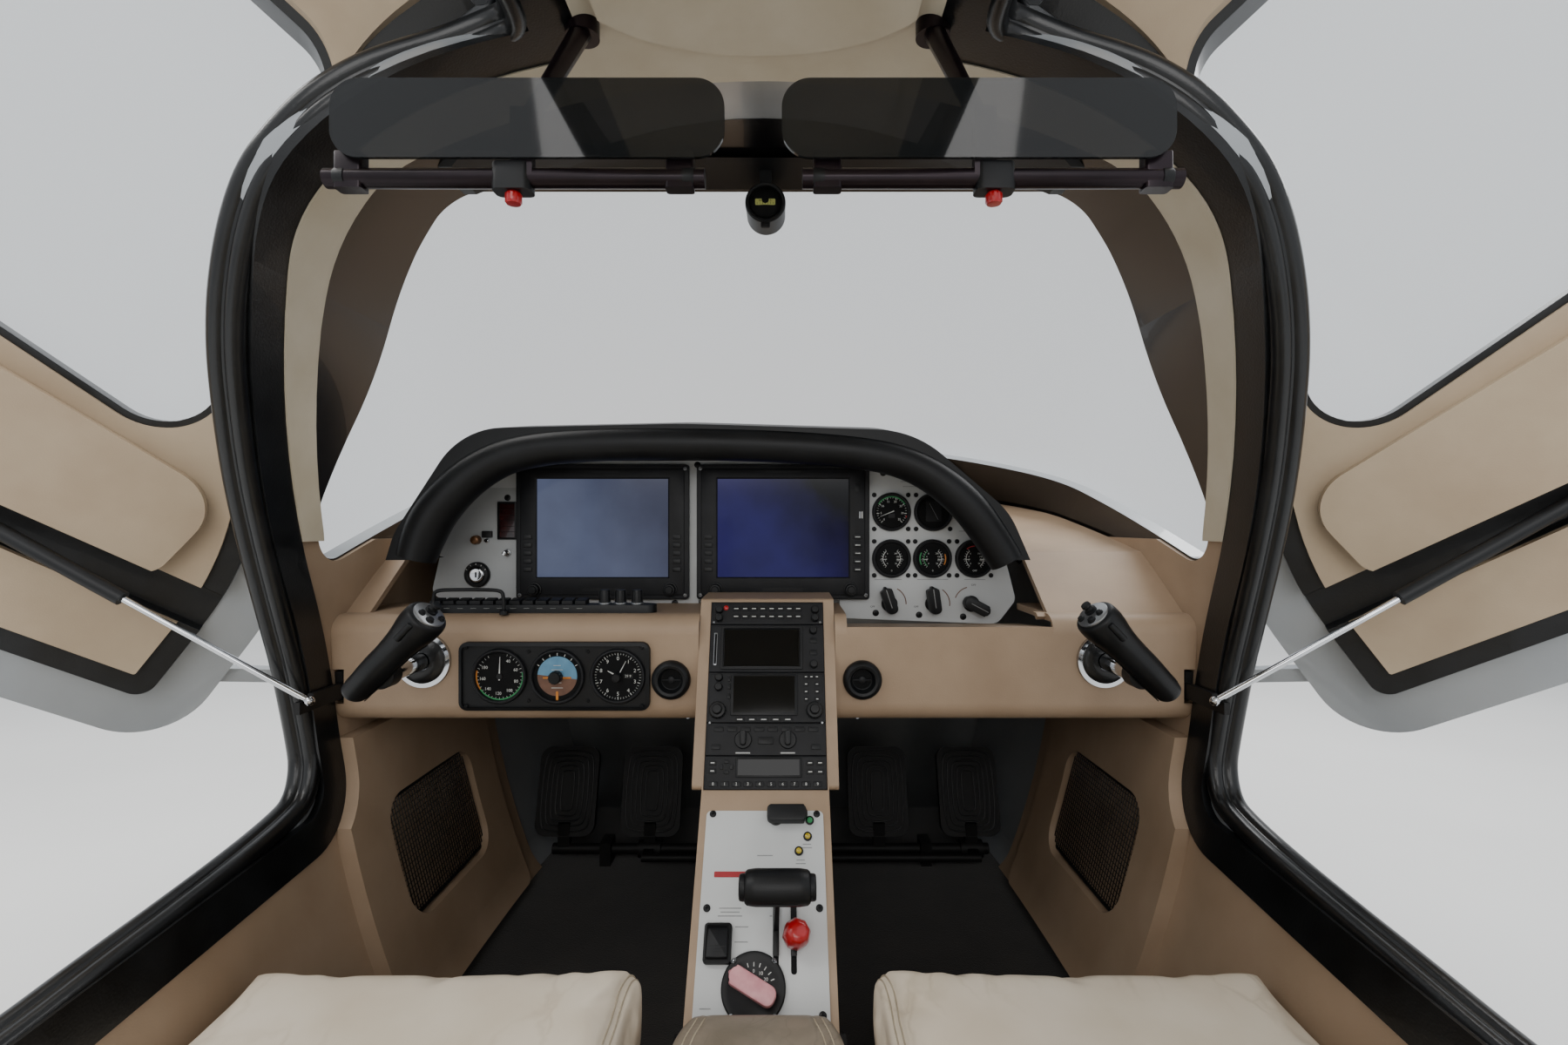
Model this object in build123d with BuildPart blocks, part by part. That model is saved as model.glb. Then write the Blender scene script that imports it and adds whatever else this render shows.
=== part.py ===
from build123d import *
import math
import os

# Forward cabin section of a light aircraft, firewall to just behind the doors, in millimetres.
# X is right, Y is forward, Z is up. The origin is on the flat belly, on the centreline, under the
# face of the instrument panel.

# Length of the section
rear_y = -1400.0
nose_start_y = -150.0
firewall_y = 620.0

# Hull cross-section of the cabin
hull_half_width = 645.0
hull_widest_z = 655.0
hull_top_z = 1380.0
belly_corner_radius = 160.0
lower_side_radius = 1500.0
hull_wall = 34.0

# Fits
seat_gap = 0.3
body_gap = 1.0
pin_gap = 0.3

# Inner linings
trim_thickness = 6.0
roof_trim_thickness = 12.0
pad_thickness = 13.0
seal_thickness = 10.0
seal_outside = 8.0

# Doors
door_skin = 11.0
door_rebate_gap = 5.0
door_corner_gap = 20.0
door_flange = 37.0
door_body_inset = 60.0
door_body_depth = 40.0
door_trim_depth = 50.0
armrest_depth = 72.0
strut_slot_depth = 15.0
roof_spine_half_width = 200.0
door_open_angle = 65.8
hinge_low = Vector(-540, -128, 760)
hinge_high = Vector(-250, -383, 1300)

# Door struts: the frame ball and the eye on the closed door
strut_ball = Vector(-581.2, -230.8, 550.9)
strut_eye_closed = Vector(-606, -560, 530)
strut_tube_length = 262.0
strut_tube_radius = 9.0
strut_rod_radius = 4.0
strut_rod_length = 290.0
strut_end_radius = 6.5
bracket_plate = 7.4

# Windscreen
glass_thickness = 6.0
glass_lap = 22.0

# Floor and firewall
floor_top_z = 75.0
floor_thickness = 15.0
web_thickness = 8.0
firewall_thickness = 12.0
engine_mount_x = 210.0
engine_mount_z = (300.0, 720.0)
engine_bolt_radius = 6.0

# Instrument panel and bolster
panel_thickness = 3.0
bolster_face_y = -153.0
bolster_top_z = 650.0
bolster_bottom_z = 501.0
bolster_wall = 10.0
bolster_half_width = 620.0

# Avionics column and console
console_x = 4.0
stack_width = 159.0
stack_top_y = -124.0
stack_top_z = 665.0
stack_tilt = 24.5
stack_depth = 50.0
stack_gap = 0.6
console_wall = 8.0
column_half_width = 95.0
console_half_width = 82.0
console_slope_top_y = -245.0
console_slope_top_z = 417.0
console_slope_angle = 48.3
console_slope_length = 233.0
console_plate_width = 146.0
console_plate_length = 226.0
console_plate_thickness = 2.5
console_front_y = 100.0

# Yokes
yoke_x = 474.0
yoke_z = 588.0
yoke_shaft_radius = 12.0
yoke_ring_radius = 38.0
yoke_grip_y = -265.0
yoke_grip_tilt = 46.0
yoke_grip_length = 118.0

# Pedals
pedal_width = 124.0
pedal_height = 178.0
pedal_thickness = 14.0
pedal_lean = 18.0
pedal_tube_radius = 11.0
pedal_tube_y = 325.0
pedal_tube_z = 102.0
pedal_tube_half_length = 452.0
pedal_sleeve_radius = 18.0
pedal_sleeve_length = 46.0
pedal_bar_y = 284.0
pedal_bar_radius = 8.0
pedal_pad_z = 126.0
pedal_pad_x = {"left": (-428.0, 225.0), "right": (-250.0, 416.0)}
pedal_bearing_x = (-339.0, 4.0, 320.0)
pedal_bearing_width = 22.0

# Seats
seat_centre_x = 331.0
seat_width = 442.0
seat_low_outer = 188.0
seat_front_y = -358.0
seat_cushion_length = 465.0
seat_top_z = 309.0
seat_cushion_thickness = 105.0
seat_plate = 8.0
rail_height = 18.0
rail_width = 26.0
rail_x = (170.0, 430.0)
rail_front_y = -330.0
rail_rear_y = -1080.0
back_pivot_y = -850.0
back_pivot_z = 250.0
back_pin_radius = 7.0
back_recline = 28.0
back_length = 620.0
back_start = 92.0
back_thickness = 85.0
back_width = 422.0

# Armrest box between the seats
armrest_front_y = -425.0
armrest_rear_y = -900.0
armrest_half_width = 86.0
armrest_top_z = 300.0
armrest_lid_thickness = 34.0
armrest_wall = 10.0
armrest_pin_radius = 4.0

# Visors
visor_y = -490.0
visor_thickness = 4.0
visor_rod_z = 1098.0
visor_rod_radius = 9.0

# Sections of the nose: y, half width, widest z, top z, side radius, shoulder radius, roof radius
stations = (
    (nose_start_y, hull_half_width, hull_widest_z, hull_top_z, 1100.0, 330.0, 700.0),
    (-20.0, 644.0, 652.0, 1345.0, 1060.0, 322.0, 708.0),
    (180.0, 636.0, 640.0, 1215.0, 930.0, 292.0, 735.0),
    (400.0, 610.0, 608.0, 1065.0, 760.0, 258.0, 800.0),
    (firewall_y, 562.0, 565.0, 932.0, 620.0, 225.0, 900.0),
)

# Side view of the door's outer edge: y, z, corner radius
door_corners = (
    (-157.0, 364.0, 80.0),
    (-169.0, 612.0, 500.0),
    (-419.0, 1187.0, 225.0),
    (-286.0, 1410.0, 0.0),
    (-1215.0, 1410.0, 0.0),
    (-1175.0, 1000.0, 300.0),
    (-1110.0, 300.0, 95.0),
)

# Plan view of what is cut from the door's front corner in the roof, along the hinge line: x, y
corner_cut = (
    (-120.0, -482.0),
    (-190.0, -446.0),
    (-231.0, -420.0),
    (-445.0, -394.0),
    (-475.0, -390.0),
    (-475.0, -100.0),
    (-120.0, -100.0),
)
corner_cut_low_z = 1150.0

# Door hinges: place along the hinge line, side of the fixed lug on that line, rear end of the strap,
# front end of its foot on the door
hinge_places = (
    (-264.4, -1, -205.0, -178.0),
    (740.1, 1, -480.0, -446.0),
)
hinge_knuckle_radius = 9.0
hinge_knuckle_length = 16.0
hinge_lug_length = 12.0
hinge_pin_radius = 4.0
strap_low = 2.0
strap_high = 9.0

# Side view of the door window: y, z, corner radius
window_corners = (
    (-368.0, 712.0, 60.0),
    (-508.0, 1188.0, 60.0),
    (-1090.0, 1178.0, 80.0),
    (-1015.0, 752.0, 70.0),
)

# Side view of the armrest pad on the door: y, z, corner radius
armrest_pad_corners = (
    (-302.0, 688.0, 55.0),
    (-306.0, 560.0, 25.0),
    (-1000.0, 545.0, 40.0),
    (-1000.0, 695.0, 50.0),
)

# Side view of the strut's slot in the door: y, z, corner radius
slot_corners = (
    (-200.0, 575.0, 0.0),
    (-200.0, 522.0, 0.0),
    (-600.0, 505.0, 12.0),
    (-600.0, 552.0, 12.0),
)

# Side view of the windscreen opening: y, z, corner radius
windscreen_corners = (
    (-186.0, 712.0, 40.0),
    (-183.0, 800.0, 120.0),
    (-104.0, 1040.0, 260.0),
    (-216.0, 1212.0, 30.0),
    (330.0, 1470.0, 0.0),
    (760.0, 1470.0, 0.0),
    (760.0, 1045.0, 0.0),
)

# Side view of the space left open in front of the pillar and roof lining: y, z, corner radius
open_front_corners = (
    (-160.0, 600.0, 0.0),
    (-183.0, 762.0, 60.0),
    (-277.0, 1015.0, 0.0),
    (-330.0, 1180.0, 60.0),
    (-245.0, 1345.0, 0.0),
    (-245.0, 1500.0, 0.0),
    (700.0, 1500.0, 0.0),
    (700.0, 600.0, 0.0),
)

# Side view of the footwell lining and of its pocket: y, z, corner radius
footwell_corners = (
    (-188.0, 92.0, 30.0),
    (-188.0, 480.0, 30.0),
    (230.0, 480.0, 30.0),
    (230.0, 92.0, 30.0),
)
pocket_corners = (
    (-105.0, 190.0, 45.0),
    (-105.0, 372.0, 40.0),
    (150.0, 372.0, 40.0),
    (150.0, 190.0, 45.0),
)

# Front view of the instrument panel: x, z, corner radius
panel_corners = (
    (-540.0, 668.0, 14.0),
    (-512.0, 643.6, 14.0),
    (-110.0, 643.6, 0.0),
    (-110.0, 655.0, 0.0),
    (118.0, 655.0, 0.0),
    (118.0, 626.0, 0.0),
    (372.0, 616.0, 22.0),
    (402.0, 655.0, 16.0),
    (378.0, 750.0, 60.0),
    (262.0, 881.0, 60.0),
    (-425.0, 878.5, 60.0),
    (-515.0, 780.0, 60.0),
)

# Front view of the glareshield's outside: x, z, corner radius
hood_corners = (
    (-547.0, 716.0, 0.0),
    (-532.0, 765.0, 90.0),
    (-435.0, 915.0, 110.0),
    (-120.0, 922.0, 900.0),
    (215.0, 912.0, 150.0),
    (352.0, 795.0, 110.0),
    (386.0, 716.0, 0.0),
)
hood_front_y = -125.0
hood_wall = 26.0
hood_flare = 20.0
deck_wall = 6.0

# Engine gauges: x, z
gauge_places = ((201, 797), (268.5, 797), (201, 722), (267, 722), (334.6, 722))
gauge_radius = 31.0
gauge_height = 8.0

# Standby gauges in their cluster: x, z
standby_places = ((-366, 567), (-286, 567), (-202, 567))

# Flight displays: x of the middle
display_places = (-262.0, 26.5)
display_z = 765.0
display_thickness = 12.0

# Avionics units from the top down: height
stack_units = (33.0, 67.6, 67.6, 42.0, 42.0)

hinge_direction = (hinge_high - hinge_low).normalized()
door_axis = Axis(hinge_low, hinge_direction)
body_store = {}


def hull_arcs(station, inset):
    """Arcs of one cross-section, on the right side, from the belly to the roof."""
    y, half_width, widest_z, top_z, side_radius, shoulder_radius, roof_radius = station
    side_centre = Vector(half_width - side_radius, widest_z)
    roof_centre = Vector(0, top_z - roof_radius)
    reach_side = side_radius - shoulder_radius
    reach_roof = roof_radius - shoulder_radius
    between = roof_centre - side_centre
    along = (reach_side**2 - reach_roof**2 + between.length**2) / (2 * between.length)
    across = math.sqrt(reach_side**2 - along**2)
    unit = between.normalized()
    shoulder_centre = side_centre + unit * along + Vector(-unit.Y, unit.X) * across
    lower_centre = Vector(half_width - lower_side_radius, widest_z)
    corner_reach = lower_side_radius - belly_corner_radius
    corner_drop = widest_z - belly_corner_radius
    corner_x = lower_centre.X + math.sqrt(corner_reach**2 - corner_drop**2)
    corner_centre = Vector(corner_x, belly_corner_radius)
    arcs = []
    for centre, radius, start, end in (
        (corner_centre, belly_corner_radius, Vector(0, -1), corner_centre - lower_centre),
        (lower_centre, lower_side_radius, corner_centre - lower_centre, Vector(1, 0)),
        (side_centre, side_radius, Vector(1, 0), shoulder_centre - side_centre),
        (shoulder_centre, shoulder_radius, shoulder_centre - side_centre, shoulder_centre - roof_centre),
        (roof_centre, roof_radius, shoulder_centre - roof_centre, Vector(0, 1)),
    ):
        start = start.normalized()
        end = end.normalized()
        turns = (start, (start + end).normalized(), end)
        points = [centre + turn * (radius - inset) for turn in turns]
        arc = [(point.X, point.Y) for point in points]
        if arcs:
            arc[0] = arcs[-1][2]
        arcs.append(arc)
    arcs[-1][2] = (0.0, top_z - inset)
    return arcs


def draw_hull_section(station, inset):
    """Draws one closed cross-section in the open BuildLine."""
    right = hull_arcs(station, inset)
    belly_x, belly_z = right[0][0]
    Line((-belly_x, belly_z), (belly_x, belly_z))
    for arc in right:
        ThreePointArc(*arc)
    for arc in reversed(right):
        ThreePointArc(*((-x, z) for x, z in reversed(arc)))


def cabin_body(inset, behind=0.0):
    """The cabin's constant cross-section as a solid, behind the nose."""
    key = ("cabin", inset, behind)
    if key not in body_store:
        with BuildPart() as body:
            with BuildSketch(Plane.XZ.offset(-nose_start_y)):
                with BuildLine():
                    draw_hull_section(stations[0], inset)
                make_face()
            extrude(amount=nose_start_y - rear_y + behind)
        body_store[key] = body.part
    return body_store[key]


def whole_body(inset, behind=0.0):
    """Cabin and tapering nose together as a solid."""
    key = ("whole", inset, behind)
    if key not in body_store:
        straight = cabin_body(inset, behind)
        with BuildPart() as body:
            for station in stations:
                with BuildSketch(Plane.XZ.offset(-station[0])):
                    with BuildLine():
                        draw_hull_section(station, inset)
                    make_face()
            loft()
            add(straight)
        body_store[key] = body.part
    return body_store[key]


def rounded_face(corners, grow=0.0):
    """A closed outline with rounded corners, grown all round."""
    with BuildSketch() as face:
        with BuildLine():
            Polyline([(a, b) for a, b, radius in corners], close=True)
        make_face()
        if grow:
            offset(amount=grow, kind=Kind.INTERSECTION)
        for a, b, radius in corners:
            if radius:
                fillet(face.vertices().sort_by_distance((a, b, 0))[0], radius=max(radius + grow, 3.0))
    return face.sketch


def block(low, high, mode=Mode.ADD):
    """Puts a plain box, from its lowest to its highest corner, in the open part."""
    with Locations(tuple((a + b) / 2 for a, b in zip(low, high))):
        Box(*(b - a for a, b in zip(low, high)), mode=mode)


def run_across(face, x_from, x_to, mode=Mode.ADD):
    """Runs a side-view face across the hull in the open part."""
    with BuildSketch(Plane.YZ.offset(x_from)) as side:
        add(face)
    extrude(side.sketch, amount=x_to - x_from, mode=mode)


def corner_wedge(shift):
    """What is cut from the door's front corner in the roof, its edge moved forward by a shift."""
    with BuildPart() as wedge:
        with BuildSketch(Plane.XY.offset(corner_cut_low_z)):
            with BuildLine():
                Polyline(*((x, y + shift) for x, y in corner_cut), close=True)
            make_face()
        extrude(amount=300)
    return wedge.part


def door_region(grow, wedge_shift=None):
    """Space of the left door: its side view less the roof spine, and less the corner wedge."""
    outer_x = -760.0
    spine_x = -roof_spine_half_width + grow
    roof_front_y = -345.0 + grow
    roof_rear_y = -1215.0 - grow
    side_face = rounded_face(door_corners, grow)
    with BuildPart() as region:
        with BuildSketch(Plane.XY.offset(corner_cut_low_z)):
            with Locations(((spine_x + outer_x) / 2, (roof_front_y + roof_rear_y) / 2)):
                RectangleRounded(spine_x - outer_x, roof_front_y - roof_rear_y, max(60.0 + grow, 6.0))
        extrude(amount=300)
        block((outer_x, -1400, 0), (-150, 0, corner_cut_low_z))
        run_across(side_face, outer_x, -100, Mode.INTERSECT)
        if wedge_shift is not None:
            add(corner_wedge(wedge_shift), mode=Mode.SUBTRACT)
    return region.part


def wall_layer(outer_inset, inner_inset, region):
    """Part of the cabin wall between two depths, inside a region."""
    outside = cabin_body(outer_inset)
    inside = cabin_body(inner_inset, 10)
    with BuildPart() as layer:
        add(outside)
        add(inside, mode=Mode.SUBTRACT)
        add(region, mode=Mode.INTERSECT)
    return layer.part


def swing_open(shape):
    """Turns a piece of the closed left door to the open place in which it rests."""
    return shape.rotate(door_axis, -door_open_angle)


def mirrored(shape):
    """The same piece on the right side."""
    return mirror(shape, about=Plane.YZ, mode=Mode.PRIVATE)


def save(part, label):
    """Labels a finished piece and writes it."""
    part.label = label
    export_step(part, "parts/" + label + ".step")


def save_pair(part, label):
    """Writes a piece of the left side and its mirror image on the right."""
    save(part, label + "_left")
    with BuildPart() as right:
        add(mirrored(part))
    save(right.part, label + "_right")


def save_both(part, label):
    """Writes a piece and its mirror image as one sub-part."""
    with BuildPart() as both:
        add(part)
        add(mirrored(part))
    save(both.part, label)


os.makedirs("parts", exist_ok=True)
wide = 800.0
lining = hull_wall + seat_gap
rebate_depth = door_skin + door_rebate_gap
glass_step = glass_thickness + 2 * seat_gap
side_inner = lining + trim_thickness
roof_inner = lining + roof_trim_thickness
header_inner = lining + seal_thickness

# Solids of the hull's outside, its hollow and its lining
outer_body = whole_body(0)
glass_body = whole_body(glass_thickness, 10)
glass_step_body = whole_body(glass_step, 20)
hollow_body = whole_body(hull_wall, 10)
lining_body = whole_body(lining)
side_lined_body = whole_body(side_inner)
header_lined_body = whole_body(header_inner)
dash_space_body = whole_body(side_inner + seat_gap)

# Side-view faces of the windscreen opening and the pieces round it
windscreen_hole_face = rounded_face(windscreen_corners)
windscreen_pane_face = rounded_face(windscreen_corners, glass_lap)
windscreen_rebate_face = rounded_face(windscreen_corners, glass_lap + body_gap)
header_outer_face = rounded_face(windscreen_corners, 46)
header_inner_face = rounded_face(windscreen_corners, 3)

# Spaces of the left door's opening
door_step_region = door_region(door_rebate_gap, door_corner_gap)
door_step_body = cabin_body(rebate_depth, 20)
with BuildPart() as corner_cover:
    add(corner_wedge(door_corner_gap))
    add(door_step_body, mode=Mode.SUBTRACT)

with BuildPart() as door_opening:
    add(door_region(-door_flange))
    add(corner_cover.part, mode=Mode.SUBTRACT)
door_hole = door_opening.part

# Hull: a hollow shell with a rebate and a hole for each door and for the windscreen
with BuildPart() as windscreen_step:
    run_across(windscreen_rebate_face, -wide, wide)
    add(glass_step_body, mode=Mode.SUBTRACT)

with BuildPart() as door_step:
    add(door_step_region)
    add(door_step_body, mode=Mode.SUBTRACT)

with BuildPart() as hull_half:
    add(outer_body)
    add(hollow_body, mode=Mode.SUBTRACT)
    for cutter in (door_step.part, door_hole, windscreen_step.part):
        add(cutter, mode=Mode.SUBTRACT)
    run_across(windscreen_hole_face, -wide, wide, Mode.SUBTRACT)
    split(bisect_by=Plane.YZ, keep=Keep.BOTTOM)
save_pair(hull_half.part, "hull")

# Windscreen: one curved pane in the rebate
with BuildPart() as windscreen:
    add(outer_body)
    add(glass_body, mode=Mode.SUBTRACT)
    run_across(windscreen_pane_face, -wide, wide, Mode.INTERSECT)
save(windscreen.part, "windscreen")

# Cabin floor on lengthwise webs
floor_front_y = firewall_y - firewall_thickness - 8.0
with BuildPart() as cabin_floor:
    block((-wide, rear_y, floor_top_z - floor_thickness), (wide, floor_front_y, floor_top_z))
    for x in (-300.0, 0.0, 300.0):
        block((x - web_thickness / 2, rear_y, lining), (x + web_thickness / 2, floor_front_y, floor_top_z))
    add(lining_body, mode=Mode.INTERSECT)
save(cabin_floor.part, "cabin_floor")

# Firewall with four bosses for the engine mount
with BuildPart() as firewall:
    block((-wide, floor_front_y, 0), (wide, floor_front_y + firewall_thickness, 1000))
    add(lining_body, mode=Mode.INTERSECT)
    with Locations(*((x, floor_front_y + firewall_thickness + 5, z)
                     for x in (-engine_mount_x, engine_mount_x) for z in engine_mount_z)):
        Cylinder(24, 10, rotation=(90, 0, 0))
    with Locations(*((x, floor_front_y, z) for x in (-engine_mount_x, engine_mount_x)
                     for z in engine_mount_z)):
        Cylinder(engine_bolt_radius, 80, rotation=(90, 0, 0), mode=Mode.SUBTRACT)
save(firewall.part, "firewall")

# Cream lining of the pillars and the roof
trim_top_z = 755.0
door_clear = door_region(seal_outside + seat_gap)
lining_cabin = cabin_body(lining)
roof_lined_cabin = cabin_body(roof_inner, 10)
open_front_face = rounded_face(open_front_corners)
with BuildPart() as roof_trim:
    add(lining_cabin)
    add(roof_lined_cabin, mode=Mode.SUBTRACT)
    block((-wide, rear_y, trim_top_z), (wide, nose_start_y - 5, 1500), Mode.INTERSECT)
    run_across(open_front_face, -wide, wide, Mode.SUBTRACT)
    add(door_clear, mode=Mode.SUBTRACT)
    add(mirrored(door_clear), mode=Mode.SUBTRACT)
save(roof_trim.part, "roof_trim")

# Perforated pad on the roof lining
pad_inset = roof_inner + seat_gap
pad_outside = cabin_body(pad_inset)
pad_inside = cabin_body(pad_inset + pad_thickness, 10)
with BuildPart() as headliner_pad:
    with BuildSketch(Plane.XY.offset(1200)):
        with BuildLine():
            Line((-165, rear_y + 20), (165, rear_y + 20))
            Line((165, rear_y + 20), (165, -405))
            ThreePointArc((165, -405), (0, -318), (-165, -405))
            Line((-165, -405), (-165, rear_y + 20))
        make_face()
    extrude(amount=300)
    add(pad_outside, mode=Mode.INTERSECT)
    add(pad_inside, mode=Mode.SUBTRACT)
save(headliner_pad.part, "headliner_pad")

# Header along the windscreen's upper edge
with BuildPart() as windscreen_header:
    add(lining_body)
    add(header_lined_body, mode=Mode.SUBTRACT)
    run_across(header_outer_face, -wide, wide, Mode.INTERSECT)
    run_across(header_inner_face, -wide, wide, Mode.SUBTRACT)
    block((-wide, -400, 1215), (wide, 100, 1500), Mode.INTERSECT)
save(windscreen_header.part, "windscreen_header")

# Rubber seals round the inner edge of the door openings
seal_region = door_region(seal_outside)
seal_inside = cabin_body(lining + seal_thickness, 10)
with BuildPart() as door_seal:
    add(seal_region)
    add(door_hole, mode=Mode.SUBTRACT)
    add(lining_cabin, mode=Mode.INTERSECT)
    add(seal_inside, mode=Mode.SUBTRACT)
save_both(door_seal.part, "door_seals")

# Beige lining of the lower sides, with a pocket in each footwell
footwell_inset = 62.0
pocket_inset = 48.0
footwell_face = rounded_face(footwell_corners)
pocket_face = rounded_face(pocket_corners)
footwell_body = whole_body(footwell_inset, 10)
pocket_body = whole_body(pocket_inset)
with BuildPart() as side_trim:
    add(lining_body)
    add(side_lined_body, mode=Mode.SUBTRACT)
    block((-wide, rear_y, floor_top_z + body_gap), (0, 300, trim_top_z - seat_gap), Mode.INTERSECT)
    add(door_clear, mode=Mode.SUBTRACT)
    run_across(header_inner_face, -wide, wide, Mode.SUBTRACT)

with BuildPart() as footwell_panel:
    run_across(footwell_face, -wide, 0)
    add(door_clear, mode=Mode.SUBTRACT)
    add(side_lined_body, mode=Mode.INTERSECT)
    add(footwell_body, mode=Mode.SUBTRACT)

with BuildPart() as pocket_space:
    run_across(pocket_face, -wide, 0)
    add(pocket_body, mode=Mode.INTERSECT)

with BuildPart() as lined_side:
    add(side_trim.part)
    add(footwell_panel.part)
    add(pocket_space.part, mode=Mode.SUBTRACT)
save_both(lined_side.part, "sidewall_trim")

# Bolster under the instrument panel, running out to wings on both sides
bolster_back_y = -60.0
with BuildPart() as dash:
    with BuildSketch(Plane.YZ.offset(-bolster_half_width)):
        with BuildLine():
            Polyline((bolster_back_y, bolster_bottom_z), (bolster_face_y, bolster_bottom_z),
                     (bolster_face_y, bolster_top_z), (-seat_gap, bolster_top_z),
                     (-seat_gap, bolster_top_z - bolster_wall),
                     (bolster_face_y + bolster_wall, bolster_top_z - bolster_wall),
                     (bolster_face_y + bolster_wall, bolster_bottom_z + bolster_wall),
                     (bolster_back_y, bolster_bottom_z + bolster_wall), close=True)
        make_face()
    extrude(amount=2 * bolster_half_width)
    fillet(dash.edges().filter_by(Axis.X).group_by(Axis.Y)[0], radius=26)
    fillet(dash.edges().filter_by(Axis.X).group_by(Axis.Y)[1:3][0].group_by(Axis.Z)[0], radius=3)

low_shelf_x = (116.0, 404.0)
low_shelf_front_z = 634.0
low_shelf_rear_z = 617.0
with BuildPart() as low_shelf:
    with BuildSketch(Plane.YZ.offset(low_shelf_x[0])):
        with BuildLine():
            Polyline((bolster_face_y, low_shelf_front_z), (-seat_gap, low_shelf_rear_z),
                     (-seat_gap, low_shelf_rear_z - bolster_wall),
                     (bolster_face_y, low_shelf_front_z - bolster_wall), close=True)
        make_face()
    extrude(amount=low_shelf_x[1] - low_shelf_x[0])

wing_points = ((-118, 640), (-6, 724), (300, 792), (460, 820),
               (460, 828), (300, 800), (-9, 733), (-125, 645))
with BuildPart() as wings:
    with BuildSketch(Plane.YZ.offset(-bolster_half_width)):
        with BuildLine():
            Polyline(*wing_points, close=True)
        make_face()
    extrude(amount=2 * bolster_half_width)
    block((-570, -200, bolster_top_z), (408, panel_thickness + seat_gap, 1000), Mode.SUBTRACT)

deck_space_face = rounded_face(hood_corners, hood_flare + seat_gap)
with BuildPart() as deck_space:
    with BuildSketch(Plane.XZ.offset(-panel_thickness)):
        add(deck_space_face)
    extrude(amount=-700)

with BuildPart() as dash_bolster:
    add(dash.part)
    block((low_shelf_x[0], -200, low_shelf_rear_z - bolster_wall), (low_shelf_x[1], 10, 700), Mode.SUBTRACT)
    block((low_shelf_x[0], bolster_face_y, 590),
          (low_shelf_x[1], bolster_face_y + bolster_wall, low_shelf_front_z - 4))
    add(low_shelf.part)
    add(wings.part)
    block((low_shelf_x[0], -200, low_shelf_front_z + 2), (low_shelf_x[1] - 12, 10, 700), Mode.SUBTRACT)
    block((-640, -165, strut_ball.Z - 24), (-586, -90, strut_ball.Z + 24), Mode.SUBTRACT)
    block((586, -165, strut_ball.Z - 24), (640, -90, strut_ball.Z + 24), Mode.SUBTRACT)
    add(deck_space.part, mode=Mode.SUBTRACT)
    block((console_x - column_half_width - seat_gap, -300, 400),
          (console_x + column_half_width + seat_gap, 100, 700), Mode.SUBTRACT)
    add(dash_space_body, mode=Mode.INTERSECT)
    with Locations((-yoke_x, bolster_face_y, yoke_z), (yoke_x, bolster_face_y, yoke_z)):
        Cylinder(yoke_ring_radius, 60, rotation=(90, 0, 0), mode=Mode.SUBTRACT)
save(dash_bolster.part, "dash_bolster")

# Instrument panel plate
panel_face = rounded_face(panel_corners)
with BuildPart() as instrument_panel:
    with BuildSketch(Plane.XZ):
        add(panel_face)
    extrude(amount=-panel_thickness)
save(instrument_panel.part, "instrument_panel")

# Padded glareshield and the deck that runs from it to the windscreen
lip_face = rounded_face(hood_corners)
lip_hollow_face = rounded_face(hood_corners, -hood_wall)
root_face = rounded_face(hood_corners, hood_flare)
root_hollow_face = rounded_face(hood_corners, hood_flare - 22)
deck_hollow_face = rounded_face(hood_corners, hood_flare - deck_wall)
with BuildPart() as hood_hollow:
    with BuildSketch(Plane.XZ.offset(-hood_front_y + 0.01)):
        add(lip_hollow_face)
    with BuildSketch(Plane.XZ.offset(seat_gap - 0.01)):
        add(root_hollow_face)
    loft(ruled=True)

with BuildPart() as glareshield:
    with BuildSketch(Plane.XZ.offset(-hood_front_y)):
        add(lip_face)
    with BuildSketch(Plane.XZ.offset(seat_gap)):
        add(root_face)
    loft(ruled=True)
    add(hood_hollow.part, mode=Mode.SUBTRACT)
    block((-500, -200, 600), (345, 10, 750), Mode.SUBTRACT)
    block((-800, -200, 600), (800, 10, 726), Mode.SUBTRACT)
save(glareshield.part, "glareshield")

deck_start_y = panel_thickness + seat_gap
with BuildPart() as dash_deck:
    with BuildSketch(Plane.XZ.offset(-deck_start_y)):
        add(root_face)
        add(deck_hollow_face, mode=Mode.SUBTRACT)
        with Locations((-80, 700)):
            Rectangle(1100, 70, mode=Mode.SUBTRACT)
    extrude(amount=-560)
    add(lining_body, mode=Mode.INTERSECT)
save(dash_deck.part, "dash_deck")

# Two flight displays with sunk screens and two knobs each
with BuildPart() as flight_displays:
    for x in display_places:
        block((x - 138, -display_thickness, display_z - 108), (x + 138, 0, display_z + 108))
        block((x - 105.5, -display_thickness - 1, display_z - 73),
              (x + 105.5, -display_thickness + 2, display_z + 85.5), Mode.SUBTRACT)
        with Locations(*((x + side * 108, -display_thickness - 6, display_z - 92) for side in (-1, 1))):
            Cylinder(9, 12, rotation=(90, 0, 0))
save(flight_displays.part, "flight_displays")

# Five engine gauges
with BuildPart() as engine_gauges:
    with Locations(*((x, -gauge_height / 2, z) for x, z in gauge_places)):
        Cylinder(gauge_radius, gauge_height, rotation=(90, 0, 0))
    with Locations(*((x, -gauge_height, z) for x, z in gauge_places)):
        Cylinder(gauge_radius - 5, 4, rotation=(90, 0, 0), mode=Mode.SUBTRACT)
save(engine_gauges.part, "engine_gauges")

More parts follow.
